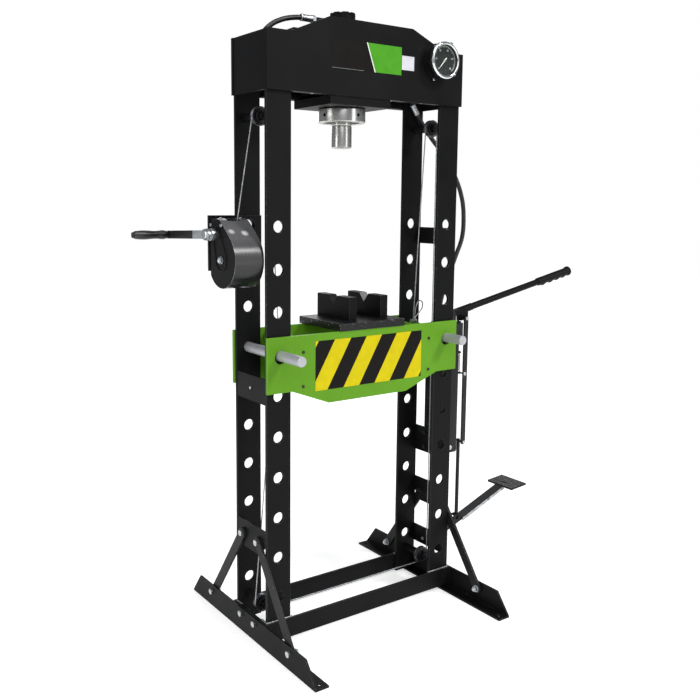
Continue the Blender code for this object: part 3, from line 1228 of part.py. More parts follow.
def make_foot_pedal():
    pivot = Vector((pedal_x, MECHANISM_Y, PEDAL_Z))
    along = Vector((math.cos(PEDAL_ANGLE), 0.0, math.sin(PEDAL_ANGLE)))
    up = Vector((-math.sin(PEDAL_ANGLE), 0.0, math.cos(PEDAL_ANGLE)))
    half = PEDAL_WIDTH / 2
    bore = bore_for(PEDAL_PIN, 20)
    hub = [(bore, -half), (PEDAL_HUB, -half), (PEDAL_HUB, half), (bore, half)]
    pedal = solid("foot_pedal", lathe(hub, pivot, Y, 20), "black_paint", tuple(pivot))
    inset = half - FLUSH_STEP
    bar = rect((PEDAL_PIN + PEDAL_HUB) / 2, -PEDAL_THICK / 2, PEDAL_LENGTH, PEDAL_THICK / 2)
    join(pedal, prism([bar], inset * 2, pivot + Y * inset, along, up))
    shift = link_x - pedal_x
    rise = rod_low - PEDAL_Z
    foot = shift * math.tan(PEDAL_ANGLE)
    lug = [(shift - LUG_HALF * 2.3, foot - LUG_HALF), (shift + LUG_HALF * 1.4, foot + LUG_HALF / 3),
           (shift + LUG_HALF * 1.4, rise + LUG_HALF), (shift - LUG_HALF * 2.3, rise + LUG_HALF)]
    slot = stadium(shift, rise, shift + PEDAL_SLOT_X, rise + PEDAL_SLOT_Z, LINK_PIN + SLOT_ROOM, 6)
    near = ROD_RADIUS + GAP * 4
    for back in (-near, near + PEDAL_LUG_THICK):
        join(pedal, prism([lug, slot], PEDAL_LUG_THICK, pivot + Y * back, X, Z))
    pad_along = Vector((math.cos(PAD_TILT), 0.0, math.sin(PAD_TILT)))
    pad_up = Vector((-math.sin(PAD_TILT), 0.0, math.cos(PAD_TILT)))
    pitch = PAD_LENGTH / PAD_RIDGES
    profile = [(0.0, 0.0), (PAD_LENGTH, 0.0)]
    for i in range(PAD_RIDGES):
        right = PAD_LENGTH - pitch * i
        profile += [(right, PAD_THICK), (right - pitch / 2, PAD_THICK + PAD_RIDGE)]
    profile.append((0.0, PAD_THICK))
    corner = pivot + along * (PEDAL_LENGTH - PAD_LENGTH * 0.35) + up * PEDAL_THICK / 4
    join(pedal, prism([profile], PAD_WIDTH, corner + Y * PAD_WIDTH / 2, pad_along, pad_up))


def settle_origin():
    bpy.context.view_layer.update()
    graph = bpy.context.evaluated_depsgraph_get()
    corners = []
    for obj in bpy.data.objects:
        if obj.type == "EMPTY" or obj.hide_render:
            continue
        shape = obj.evaluated_get(graph).to_mesh()
        corners += [obj.matrix_world @ vert.co for vert in shape.vertices]
    low = [min(c[i] for c in corners) for i in range(3)]
    high = [max(c[i] for c in corners) for i in range(3)]
    press.location = (-(low[0] + high[0]) / 2, -(low[1] + high[1]) / 2, -low[2])
    print("origin shift", [round(v, 5) for v in press.location])
    print("box size", [round(h - l, 4) for l, h in zip(low, high)])


make_posts()
make_head()
make_base()
make_braces()
make_cylinder()
make_bed()
make_pins_and_tooling()
make_winch_frame()
make_winch_cover()
make_winch_works()
make_pulleys()
make_ropes()
make_gauge()
make_hoses()
make_pump_body()
make_lever()
make_link()
make_pedal()
settle_origin()
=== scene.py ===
import math

import bmesh
import bpy
from mathutils import Matrix, Vector


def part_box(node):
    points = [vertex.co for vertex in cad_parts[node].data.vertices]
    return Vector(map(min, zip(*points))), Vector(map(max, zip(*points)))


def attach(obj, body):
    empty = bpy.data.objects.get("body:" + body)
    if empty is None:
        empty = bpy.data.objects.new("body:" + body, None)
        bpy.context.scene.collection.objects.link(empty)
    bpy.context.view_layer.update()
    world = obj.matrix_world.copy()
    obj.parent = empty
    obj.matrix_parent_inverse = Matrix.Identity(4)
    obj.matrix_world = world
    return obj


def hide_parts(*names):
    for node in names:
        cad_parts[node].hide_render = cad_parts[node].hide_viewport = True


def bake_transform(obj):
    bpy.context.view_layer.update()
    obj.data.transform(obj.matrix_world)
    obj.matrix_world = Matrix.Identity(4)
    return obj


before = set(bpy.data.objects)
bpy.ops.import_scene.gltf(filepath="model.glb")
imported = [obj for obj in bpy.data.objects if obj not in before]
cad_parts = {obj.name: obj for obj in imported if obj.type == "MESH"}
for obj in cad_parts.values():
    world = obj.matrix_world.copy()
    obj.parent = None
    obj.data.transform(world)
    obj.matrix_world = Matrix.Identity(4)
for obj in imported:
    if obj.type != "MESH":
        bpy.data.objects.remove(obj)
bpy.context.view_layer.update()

# sizes below are millimetres, from the floor up and from the middle of the press
midX = (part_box("front_left_post")[0].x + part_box("front_right_post")[1].x) / 2
xAxis = Vector((1.0, 0.0, 0.0))
yAxis = Vector((0.0, 1.0, 0.0))
zAxis = Vector((0.0, 0.0, 1.0))
sides = (-1, 1)
fullTurn = 2 * math.pi


def at(x, y, z):
    return Vector((midX + x / 1000, y / 1000, z / 1000))


def edgeOf(node, corner, axis):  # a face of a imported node, in the same millimetres
    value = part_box(node)[corner][axis]
    return (value - midX if axis == 0 else value) * 1000


# shaders

def hexToLinear(code):
    channels = [int(code[i:i + 2], 16) / 255 for i in (1, 3, 5)]
    linear = [c / 12.92 if c <= 0.04045 else ((c + 0.055) / 1.055) ** 2.4 for c in channels]
    return (*linear, 1.0)


def perMetre(size):  # texture scale of a pattern whose grain is this many millimetres
    return 1000 / size


def bandScale(size):  # scale of a wave texture whose bands lie this many millimetres apart
    return math.pi * 100 / size


def link(tree, node, links):
    for socket, source in links.items():
        tree.links.new(source, node.inputs[socket])
    return node


def addNode(tree, kind, settings={}, links={}):  # lower case keys are settings, the others are sockets
    node = tree.nodes.new(kind)
    for key, value in settings.items():
        if isinstance(key, str) and key[0].islower():
            setattr(node, key, value)
        else:
            node.inputs[key].default_value = value
    return link(tree, node, links)


# every finish: two shades and two dullnesses mixed by patches, over a fine grain that tilts the light
def surface(name, look):
    material = bpy.data.materials.new(name)
    material.use_nodes = True
    tree = material.node_tree
    shader = tree.nodes["Principled BSDF"]
    for socket, value in look["sockets"].items():
        shader.inputs[socket].default_value = value
    place = addNode(tree, "ShaderNodeTexCoord").outputs["Object"]
    patch = addNode(tree, "ShaderNodeTexNoise",
                    {"Scale": perMetre(look["patch"]), "Detail": look.get("detail", 5.0)}, {"Vector": place})
    low, high = look.get("shows", (0.3, 0.7))
    share = addNode(tree, "ShaderNodeMapRange", {"From Min": low, "From Max": high}, {"Value": patch.outputs["Fac"]})
    first, second = look["shades"]
    mixed = addNode(tree, "ShaderNodeMixRGB", {"Color1": hexToLinear(first), "Color2": hexToLinear(second)},
                    {"Fac": share.outputs["Result"]})
    low, high = look["rough"]
    dull = addNode(tree, "ShaderNodeMapRange", {"To Min": low, "To Max": high}, {"Value": share.outputs["Result"]})
    link(tree, shader, {"Base Color": mixed.outputs["Color"], "Roughness": dull.outputs["Result"]})
    if look.get("bareMetal"):
        link(tree, shader, {"Metallic": share.outputs["Result"]})
    if "grain" in look:
        kind, settings, output, strength, depth = look["grain"]
        grain = addNode(tree, kind, settings, {"Vector": place})
        bump = addNode(tree, "ShaderNodeBump", {"Strength": strength, "Distance": depth / 1000},
                       {"Height": grain.outputs[output]})
        link(tree, shader, {"Normal": bump.outputs["Normal"]})
    return material


def powderCoat(name, shades, gloss, rough, patch=140, peel=1.6, depth=0.05):
    # baked polyester powder: satin sheen, a faint orange peel, and slow patches where handling dulled it
    grain = ("ShaderNodeTexNoise", {"Scale": perMetre(peel), "Detail": 2.0}, "Fac", 0.3, depth)
    return surface(name, {"sockets": {"IOR": 1.5, "Specular IOR Level": gloss}, "shades": shades, "rough": rough,
                          "patch": patch, "grain": grain})


def rubbedEdge(name, shades, rough, patch, shows):
    # powder worn thin: lighter and glossier, with steel showing through in spots
    return surface(name, {"sockets": {"IOR": 1.5, "Specular IOR Level": 0.25}, "shades": shades, "rough": rough,
                          "patch": patch, "detail": 6.0, "shows": shows, "bareMetal": True})


def turnedSteel(name, shades, metal, rough, along, feed, tilt):
    # lathe-turned and ground steel: bright, with fine rings that stretch the highlights round the part
    rings = {"bands_direction": along, "Scale": bandScale(feed), "Distortion": 0.4, "Detail": 1.0}
    return surface(name, {"sockets": {"Metallic": metal}, "shades": shades, "rough": rough, "patch": 45,
                          "detail": 2.0, "grain": ("ShaderNodeTexWave", rings, "Fac", tilt, 0.03)})


def platedSteel(name, shades, metal, rough, patch, crystal, tilt):
    # electroplated or blackened steel: an even metal skin with a fine crystal grain and cloudy patches
    grain = ("ShaderNodeTexVoronoi", {"Scale": perMetre(crystal)}, "Distance", tilt, 0.02)
    return surface(name, {"sockets": {"Metallic": metal}, "shades": shades, "rough": rough, "patch": patch,
                          "grain": grain})


def mouldedRubber(name, shades, ior, gloss, rough, patch, grit, depth):
    # vulcanised or moulded black: soft broad sheen over a fine matt grain, greyer where dust sits
    grain = ("ShaderNodeTexNoise", {"Scale": perMetre(grit), "Detail": 3.0}, "Fac", 0.35, depth)
    return surface(name, {"sockets": {"IOR": ior, "Specular IOR Level": gloss}, "shades": shades, "rough": rough,
                          "patch": patch, "grain": grain})


def printedVinyl(name, shades):
    # screen-printed film: flat strong colour, smooth, with a few scuffs that catch the light
    return surface(name, {"sockets": {"IOR": 1.48, "Specular IOR Level": 0.12}, "shades": shades,
                          "rough": (0.36, 0.55), "patch": 26, "detail": 8.0})


def dustAndToplightCover(name, look):
    # rolled cover in semi-gloss paint: upward faces go grey, partly workshop dust and partly painted top light, and
    # pale rubbed spots lightened into painted highlights
    material = surface(name, look)
    tree = material.node_tree
    shader = tree.nodes["Principled BSDF"]
    mixed = shader.inputs["Base Color"].links[0].from_node
    facing = addNode(tree, "ShaderNodeSeparateXYZ", {}, {"Vector": addNode(tree, "ShaderNodeNewGeometry").outputs["Normal"]})
    # painted top light mixed with dust: the more a face turns up, the more grey it takes
    low, high = look["dustAndToplightFrom"]
    colour = addNode(tree, "ShaderNodeMixRGB", {"Color2": hexToLinear(look["dustAndToplight"])}, {
        "Color1": mixed.outputs["Color"],
        "Fac": addNode(tree, "ShaderNodeMapRange", {"From Min": low, "From Max": high},
                       {"Value": facing.outputs["Z"]}).outputs["Result"]})
    place = addNode(tree, "ShaderNodeTexCoord").outputs["Object"]
    # painted highlights: a pale spot round each listed point, rubbed paint lightened to stand in for reflections
    for spot in look["spots"]:
        away = addNode(tree, "ShaderNodeVectorMath", {"operation": "DISTANCE", 1: at(*spot)}, {0: place})
        rubbedSpotAndHighlight = addNode(tree, "ShaderNodeMapRange", {"From Min": 0.004, "From Max": 0.014, "To Min": 1.0, "To Max": 0.0},
                       {"Value": away.outputs["Value"]})
        colour = addNode(tree, "ShaderNodeMixRGB", {"Color2": hexToLinear(look["bare"])},
                         {"Color1": colour.outputs["Color"], "Fac": rubbedSpotAndHighlight.outputs["Result"]})
    link(tree, shader, {"Base Color": colour.outputs["Color"]})
    return material


def dippedZinc(name, look):
    # zinc-plated bar whose far stretch is dipped in black: bright metal, then a sharp line, then satin black
    material = surface(name, {"sockets": {"Specular IOR Level": 0.3}, "shades": (look["black"], look["zinc"]),
                              "rough": look["rough"], "patch": look["cloud"]})
    tree = material.node_tree
    shader = tree.nodes["Principled BSDF"]
    mixed = shader.inputs["Base Color"].links[0].from_node
    place = addNode(tree, "ShaderNodeTexCoord").outputs["Object"]
    across = addNode(tree, "ShaderNodeSeparateXYZ", {}, {"Vector": place})
    line = look["line"] / 1000
    bare = addNode(tree, "ShaderNodeMapRange",
                   {"From Min": line, "From Max": line + 0.002, "To Min": 1.0, "To Max": 0.0},
                   {"Value": across.outputs["Y"]})
    link(tree, mixed, {"Fac": bare.outputs["Result"]})
    link(tree, shader, {"Metallic": bare.outputs["Result"]})
    return material


def gaugeGlass(name):
    # pressed window glass: clear, a little green, with faint smears in its gloss, and light falls through it
    material = surface(name, {"sockets": {"IOR": 1.5, "Transmission Weight": 1.0, "Specular IOR Level": 0.25}, "rough": (0.0, 0.05),
                              "shades": ("#f4faf6", "#eef6f0"), "patch": 18})
    tree = material.node_tree
    ray = addNode(tree, "ShaderNodeLightPath")
    clear = addNode(tree, "ShaderNodeMapRange", {"To Min": 1.0, "To Max": 0.0}, {"Value": ray.outputs["Is Shadow Ray"]})
    link(tree, tree.nodes["Principled BSDF"], {"Alpha": clear.outputs["Result"]})
    return material


blackCoat = powderCoat("satin_black_powder_coat", ("#0b0b0c", "#111112"), 0.085, (0.4, 0.54))
tankCoat = powderCoat("grey_black_tank_paint", ("#1a1a1b", "#202021"), 0.14, (0.42, 0.55), patch=120)
greenCoat = powderCoat("green_powder_coat", ("#528318", "#588a1e"), 0.12, (0.4, 0.54), patch=160, depth=0.04)
# the grey on upward faces is dust and painted top light; the pale spots are painted highlights on rubbed paint
coverCoat = dustAndToplightCover("semi_gloss_cover_paint", {
    "sockets": {"IOR": 1.5, "Specular IOR Level": 0.5}, "shades": ("#0e0e0f", "#141415"), "rough": (0.24, 0.34),
    "patch": 90, "dustAndToplight": "#525254", "dustAndToplightFrom": (0.3, 0.75), "bare": "#c9c9c7",
    "spots": ((-428.0, -34.0, 1216.0), (-389.0, -38.0, 1210.0))})
dialCoat = powderCoat("matt_black_dial_enamel", ("#0b0b0c", "#101011"), 0.12, (0.5, 0.62), 30, 0.8, 0.01)
whiteCoat = powderCoat("matt_white_enamel", ("#f0f0ec", "#e6e6e0"), 0.3, (0.45, 0.6), 30, 0.8, 0.01)
blackEdge = rubbedEdge("rubbed_black_edge", ("#1e1e1f", "#6f6f6c"), (0.34, 0.46), 9, (0.58, 0.76))
greenEdge = rubbedEdge("rubbed_green_edge", ("#6fae30", "#a3ad93"), (0.36, 0.48), 9, (0.64, 0.82))
# pale rim finish: the winch cover's rolled rim worn bare, and also the painted highlight on the pedal arm's front face
bareRimAndPaintedSheen = rubbedEdge("bare_rim_and_painted_sheen", ("#55565a", "#b5b7ba"), (0.28, 0.4), 14, (0.35, 0.6))
scuffedBlack = rubbedEdge("scuffed_black_plate", ("#0e0e0f", "#a5a5a0"), (0.36, 0.5), 7, (0.65, 0.69))
wornTread = rubbedEdge("boot_worn_tread", ("#606061", "#b4b4b1"), (0.4, 0.55), 6, (0.4, 0.7))
steelZ = turnedSteel("turned_steel_upright", ("#c6c6c3", "#aeaeaa"), 1.0, (0.2, 0.3), "Z", 1.4, 0.04)  # feed 0.2
steelY = turnedSteel("dull_zinc_pin", ("#b3b4b7", "#a1a3a7"), 0.55, (0.42, 0.55), "Y", 1.8, 0.08)  # real feed 0.2
filedSteel = turnedSteel("milled_v_face", ("#9a9a97", "#747471"), 0.8, (0.34, 0.5), "Y", 2.4, 0.3)  # real feed 0.5
zinc = platedSteel("bright_zinc_plate", ("#c2c5c8", "#a8abaf"), 1.0, (0.26, 0.42), 9, 0.9, 0.12)
chrome = platedSteel("polished_chrome", ("#e8eaec", "#d8dbde"), 1.0, (0.05, 0.11), 25, 1.5, 0.01)
oxide = platedSteel("black_oxide_steel", ("#222225", "#2f2f33"), 0.75, (0.28, 0.44), 20, 1.1, 0.2)
rimSteel = platedSteel("rope_polished_rim", ("#636467", "#47484b"), 1.0, (0.3, 0.44), 6, 0.8, 0.15)
ropeWire = platedSteel("galvanised_wire", ("#b6b9bc", "#8c8f93"), 1.0, (0.34, 0.54), 12, 0.7, 0.2)
springWire = platedSteel("oiled_spring_wire", ("#6c6d6f", "#404144"), 1.0, (0.28, 0.45), 7, 0.7, 0.15)
weldSteel = platedSteel("brushed_weld_bead", ("#b0b1b1", "#6f7072"), 1.0, (0.3, 0.5), 5, 1.2, 0.4)
crankZinc = dippedZinc("dipped_crank_zinc", {
    "zinc": "#c8cbce", "black": "#131314", "line": 118, "cloud": 10, "rough": (0.28, 0.42)})
hoseRubber = mouldedRubber("wrapped_hose_rubber", ("#0c0c0d", "#151516"), 1.52, 0.4, (0.36, 0.5), 30, 1.2, 0.1)
gripRubber = mouldedRubber("moulded_grip_rubber", ("#0a0a0b", "#111112"), 1.52, 0.12, (0.4, 0.58), 18, 0.9, 0.06)
greyRubber = mouldedRubber("grey_moulded_cap", ("#7c7c7e", "#6c6c6e"), 1.52, 0.3, (0.4, 0.55), 12, 0.9, 0.04)
blackPlastic = mouldedRubber("moulded_black_plastic", ("#0c0c0d", "#151516"), 1.49, 0.7, (0.28, 0.38), 20, 0.7, 0.004)
yellowFilm = printedVinyl("yellow_vinyl", ("#bfb000", "#b3a404"))
blackFilm = printedVinyl("black_vinyl", ("#070504", "#0e0a08"))
greenFilm = printedVinyl("green_vinyl", ("#46901f", "#3e861a"))
greyFilm = printedVinyl("grey_vinyl", ("#77787a", "#66676a"))
whiteFilm = printedVinyl("white_vinyl", ("#e4e4e0", "#d4d4ce"))
paperFilm = printedVinyl("coated_sticker_paper", ("#b7b7bc", "#c3c3c7"))
glass = gaugeGlass("pressed_gauge_glass")
print("materials:", len(bpy.data.materials))


# mesh tools, sizes in millimetres and places in metres

def turned(bm, profile, origin, axis, steps=72, ring=False, slot=0):  # a lathe profile of (radius, along) pairs
    turn = Vector(axis).to_track_quat("Z", "Y").to_matrix()
    rows = []
    for radius, along in profile:
        angles = [0.0] if radius == 0 else [fullTurn * i / steps for i in range(steps)]
        spots = [Vector((radius * math.cos(a), radius * math.sin(a), along)) / 1000 for a in angles]
        rows.append([bm.verts.new(origin + turn @ spot) for spot in spots])
    pairs = list(zip(rows, rows[1:]))
    if ring:
        pairs.append((rows[-1], rows[0]))
    for low, high in pairs:
        for i in range(steps):
            j = (i + 1) % steps
            corners = [low[i % len(low)], low[j % len(low)], high[j % len(high)], high[i % len(high)]]
            corners = list(dict.fromkeys(corners))
            if len(corners) > 2:
                bm.faces.new(corners).material_index = slot


def filleted(points, radius, steps=4, closed=False):  # rounds each corner of an outline or a turned profile
    out = []
    count = len(points)
    for i, point in enumerate(points):
        here = Vector(point[:2])
        if not closed and i in (0, count - 1):
            out.append(tuple(here))
            continue
        toBack = Vector(points[i - 1][:2]) - here
        toNext = Vector(points[(i + 1) % count][:2]) - here
        reach = min(radius, toBack.length * 0.45, toNext.length * 0.45)
        start = here + toBack.normalized() * reach
        end = here + toNext.normalized() * reach
        for k in range(steps + 1):
            t = k / steps
            out.append(tuple(start * (1 - t) ** 2 + here * 2 * t * (1 - t) + end * t ** 2))
    return out


def extruded(bm, loops, depth, origin, across, up, slot=0):  # an outline with its holes, pushed along across x up
    away = across.cross(up).normalized() * depth / 1000
    rims = [[bm.verts.new(origin + (across * a + up * b) / 1000) for a, b in loop] for loop in loops]
    edges = [bm.edges.new((rim[i - 1], rim[i])) for rim in rims for i in range(len(rim))]
    flat = bmesh.ops.triangle_fill(bm, use_beauty=True, edges=edges)["geom"]
    twin = {v: bm.verts.new(v.co + away) for rim in rims for v in rim}
    for face in [g for g in flat if isinstance(g, bmesh.types.BMFace)]:
        face.material_index = slot
        bm.faces.new([twin[v] for v in face.verts]).material_index = slot
    for rim in rims:
        for i in range(len(rim)):
            a, b = rim[i - 1], rim[i]
            bm.faces.new((a, b, twin[b], twin[a])).material_index = slot


def swept(bm, path, section, slot=0, closed=False, side=None):  # section(step, distance) gives a ring of offsets
    tangents = []
    count = len(path)
    for i in range(count):
        before = path[i - 1] if closed or i else path[0]
        after = path[(i + 1) % count] if closed or i < count - 1 else path[-1]
        tangents.append((after - before).normalized())
    if side is None:
        side = tangents[0].orthogonal().normalized()
    rows = []
    distance = 0.0
    for i, point in enumerate(path):
        if i:
            distance += (point - path[i - 1]).length * 1000
        side = (side - tangents[i] * side.dot(tangents[i])).normalized()
        up = tangents[i].cross(side)
        rows.append([bm.verts.new(point + (side * a + up * b) / 1000) for a, b in section(i, distance)])
    pairs = list(zip(rows, rows[1:]))
    if closed:
        pairs.append((rows[-1], rows[0]))
    for low, high in pairs:
        for k in range(len(low)):
            m = (k + 1) % len(low)
            bm.faces.new((low[k], low[m], high[m], high[k])).material_index = slot
    if not closed:
        bm.faces.new(list(reversed(rows[0]))).material_index = slot
        bm.faces.new(rows[-1]).material_index = slot


def arcAround(centre, radius, start, end, steps):
    turns = [start + (end - start) * k / steps for k in range(steps + 1)]
    return [(centre[0] + radius * math.cos(t), centre[1] + radius * math.sin(t)) for t in turns]


def circleOf(centre, radius, steps=32):
    return arcAround(centre, radius, 0.0, fullTurn * (steps - 1) / steps, steps - 1)


def roundSection(radius, count=16):
    ring = circleOf((0, 0), radius, count)
    return lambda step, distance: ring


def smoothRoute(points, steps):  # a Catmull-Rom line through every point
    ends = [points[0] * 2 - points[1]] + points + [points[-1] * 2 - points[-2]]
    line = []
    for a, b, c, d in zip(ends, ends[1:], ends[2:], ends[3:]):
        for k in range(steps):
            t = k / steps
            line.append((b * 2 + (c - a) * t + (a * 2 - b * 5 + c * 4 - d) * t * t
                         + (b * 3 - a - c * 3 + d) * t ** 3) / 2)
    return line + [points[-1]]


def evenly(path, gap):  # the same line with a point at every so many millimetres
    out = [path[0]]
    left = gap / 1000
    for a, b in zip(path, path[1:]):
        span = (b - a).length
        done = 0.0
        while span - done >= left:
            done += left
            out.append(a.lerp(b, done / span))
            left = gap / 1000
        left -= span - done
    return out


def hexHead(bm, origin, axis, flats, height, bore=0.0, slot=0):  # chamfered hexagon, seated at origin
    turn = Vector(axis).to_track_quat("Z", "Y").to_matrix()
    inner = flats / 2
    count = 48
    rims = [[] for row in range(5 if bore else 3)]
    for k in range(count):
        angle = fullTurn * k / count
        radius = inner / math.cos((angle + math.pi / 6) % (math.pi / 3) - math.pi / 6)
        drop = (radius - inner * 0.95) * 0.62
        rows = [(radius, 0.0), (radius, height - drop), (inner * 0.95, height), (bore, height), (bore, 0.0)]
        spin = Vector((math.cos(angle), math.sin(angle), 0))
        for rim, (reach, lift) in zip(rims, rows):
            rim.append(bm.verts.new(origin + turn @ (spin * reach + zAxis * lift) / 1000))
    pairs = list(zip(rims, rims[1:]))
    if bore:
        pairs.append((rims[-1], rims[0]))
    else:
        bm.faces.new(rims[-1]).material_index = slot
        bm.faces.new(list(reversed(rims[0]))).material_index = slot
    for first, second in pairs:
        for k in range(count):
            m = (k + 1) % count
            bm.faces.new((first[k], first[m], second[m], second[k])).material_index = slot


def washer(bm, origin, axis, bore, radius, thick, slot=0):
    turned(bm, filleted([(bore, 0), (radius, 0), (radius, thick), (bore, thick)], 0.3, closed=True), origin, axis,
           steps=40, ring=True, slot=slot)


def screwed(bm, origin, axis, size, kind, slot=0):  # a bolt head, or a nut on its washer, size across the flats
    if kind == "head":
        hexHead(bm, origin, axis, size, size * 0.42, slot=slot)
        return
    thick = size * 0.1
    washer(bm, origin, axis, size * 0.3, size * 0.66, thick, slot)
    seat = origin + axis * thick / 1000
    hexHead(bm, seat, axis, size, size * 0.52, slot=slot)
    r = size * 0.31
    tip = filleted([(0, size * 0.5), (r, size * 0.5), (r, size * 0.82), (0, size * 0.82)], r * 0.2)
    turned(bm, tip, seat, axis, steps=32, slot=slot)


def finishPiece(name, bm, materials, body, angle=30):
    bmesh.ops.recalc_face_normals(bm, faces=bm.faces)
    mesh = bpy.data.meshes.new(name)
    bm.to_mesh(mesh)
    bm.free()
    mesh.shade_smooth()
    mesh.set_sharp_from_angle(angle=math.radians(angle))
    for material in materials:
        mesh.materials.append(material)
    piece = bpy.data.objects.new(name, mesh)
    bpy.context.collection.objects.link(piece)
    if body:
        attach(piece, body)
    return piece


# camera, light and floor

cameraView = {"spot": (-1548.8, -2104.6, 1292.3), "yaw": 35.03, "pitch": -7.47, "roll": 0.44, "lens": 43.63,
              "shift": (0.0282, -0.0522)}
studio = {
    "seen": "#ffffff", "glow": "#eef1f6", "glowStrength": 0.3, "floorRadius": 14000, "floorGlow": 0.4,
    "suns": {  # place, strength and how wide it looks: a key from the upper right front and a broad fill
        "key_sun": ((1680, -3000, 3410), 1.6, 12.0),
        "fill_sun": ((-1500, -2700, 3300), 1.3, 60.0)},
    "lamps": {  # a tall softbox on each side of the camera, one behind and one above: place, size, watts
        "left_softbox": ((-3000, 300, 1500), (0.9, 2.6), 24),
        "right_softbox": ((1300, -2900, 1500), (0.8, 2.6), 16),
        "back_softbox": ((1200, 2900, 2500), (1.6, 1.6), 26),
        "top_softbox": ((-600, -600, 3600), (1.6, 1.6), 22)}}


def placeCamera():
    data = bpy.data.cameras.new("photo_camera")
    data.lens = cameraView["lens"]
    data.sensor_width = 36.0
    data.shift_x, data.shift_y = cameraView["shift"]
    data.clip_end = 100.0
    camera = bpy.data.objects.new("photo_camera", data)
    bpy.context.collection.objects.link(camera)
    yaw, pitch, roll = (math.radians(cameraView[k]) for k in ("yaw", "pitch", "roll"))
    forward = Vector((math.sin(yaw) * math.cos(pitch), math.cos(yaw) * math.cos(pitch), math.sin(pitch)))
    right = forward.cross(zAxis).normalized()
    up = right.cross(forward)
    matrix = camera.matrix_world.to_3x3()
    matrix.col[0] = right * math.cos(roll) + up * math.sin(roll)
    matrix.col[1] = up * math.cos(roll) - right * math.sin(roll)
    matrix.col[2] = -forward
    camera.matrix_world = matrix.to_4x4()
    camera.location = at(*cameraView["spot"])
    bpy.context.scene.camera = camera


def addLamp(name, kind, spot, settings):
    data = bpy.data.lights.new(name, kind)
    for key, value in settings.items():
        setattr(data, key, value)
    lamp = bpy.data.objects.new(name, data)
    bpy.context.collection.objects.link(lamp)
    lamp.location = at(*spot)
    lamp.rotation_euler = (at(0, 0, 950) - at(*spot)).to_track_quat("-Z", "Y").to_euler()


def lightStudio():
    world = bpy.data.worlds.new("white_studio")
    bpy.context.scene.world = world
    world.use_nodes = True
    tree = world.node_tree
    tree.nodes.clear()
    glow = addNode(tree, "ShaderNodeBackground",
                   {"Color": hexToLinear(studio["glow"]), "Strength": studio["glowStrength"]})
    seen = addNode(tree, "ShaderNodeBackground", {"Color": hexToLinear(studio["seen"]), "Strength": 1.0})
    ray = addNode(tree, "ShaderNodeLightPath").outputs["Is Camera Ray"]
    mix = addNode(tree, "ShaderNodeMixShader", {}, {0: ray, 1: glow.outputs[0], 2: seen.outputs[0]})
    addNode(tree, "ShaderNodeOutputWorld", {}, {"Surface": mix.outputs[0]})
    for name, (spot, energy, angle) in studio["suns"].items():
        addLamp(name, "SUN", spot, {"energy": energy, "angle": math.radians(angle)})
    for name, (spot, (width, height), watts) in studio["lamps"].items():
        addLamp(name, "AREA", spot, {"shape": "RECTANGLE", "size": width, "size_y": height, "energy": watts})
    bpy.context.scene.view_settings.view_transform = "Standard"


def layFloor():
    # pale matt studio paper lit from under: even white, with a slow mottle in its dullness
    material = surface("pale_studio_paper", {
        "sockets": {"Specular IOR Level": 0.1, "Emission Color": hexToLinear(studio["seen"]),
                    "Emission Strength": studio["floorGlow"]},
        "shades": ("#f5f5f3", "#f2f2f0"), "rough": (0.7, 0.9), "patch": 400, "detail": 3.0})
    bm = bmesh.new()
    turned(bm, [(0, 0), (studio["floorRadius"], 0)], at(0, 0, -0.3), zAxis, steps=96)
    mesh = bpy.data.meshes.new("studio_floor")
    bm.to_mesh(mesh)
    bm.free()
    mesh.materials.append(material)
    floor = bpy.data.objects.new("studio_floor", mesh)
    bpy.context.collection.objects.link(floor)


placeCamera()
lightStudio()
layFloor()
print("camera, light and floor placed")


# hoses: their routes in metres, from the pump to the head and from the cylinder's nipple to the gauge block

hoses = {
    "pump": {"node": "pump_hose", "route": [
        (.400, .027, .8933), (.400, .027, .923), (.404, .025, .968), (.420, .018, 1.030), (.446, .006, 1.112),
        (.470, .002, 1.175), (.4755, .002, 1.238), (.470, .006, 1.305), (.450, .018, 1.374), (.422, .036, 1.430),
        (.400, .052, 1.474), (.381, .060, 1.499), (.345, .066, 1.543), (.306, .064, 1.593), (.284, .050, 1.640),
        (.2757, .0302, 1.664), (.2757, .0302, 1.682), (.2757, .0302, 1.6997)]},
    "cylinder": {"node": "cylinder_hose", "route": [
        (-.1373, 0, 1.814), (-.1839, 0, 1.814), (-.2344, 0, 1.805), (-.2776, 0, 1.786), (-.3065, .004, 1.758),
        (-.3173, .012, 1.725), (-.3101, .028, 1.690), (-.2740, .048, 1.662), (-.2199, .064, 1.645),
        (-.1460, .074, 1.638), (-.0640, .0788, 1.638), (.0460, .0788, 1.640), (.0897, .0788, 1.637),
        (.1367, .0788, 1.635), (.1607, .0752, 1.634), (.1827, .0642, 1.634), (.2047, .0492, 1.634),
        (.2252, .0346, 1.6407), (.2402, .0241, 1.659), (.2457, .0202, 1.682), (.2457, .0202, 1.691),
        (.2457, .0202, 1.6997)], "bend": 1758, "top": 1814},
    "radius": 7.3, "wrap": 5.0, "nutFlats": 20.0, "nutHeight": 10.0, "bore": 7.4,
    "sleeve": [(7.4, 0), (10.4, 0), (10.4, 1.5), (9.8, 2.5), (9.8, 33), (10.4, 34), (10.4, 36), (9, 38), (7.4, 38)]}


def wrappedSection(step, distance):  # the cloth wrap leaves a shallow spiral in the rubber
    spin = fullTurn * distance / hoses["wrap"]
    return [(a * (1 - 0.012 * math.cos(k * math.pi / 10 - spin)), b * (1 - 0.012 * math.cos(k * math.pi / 10 - spin)))
            for k, (a, b) in enumerate(circleOf((0, 0), hoses["radius"], 20))]


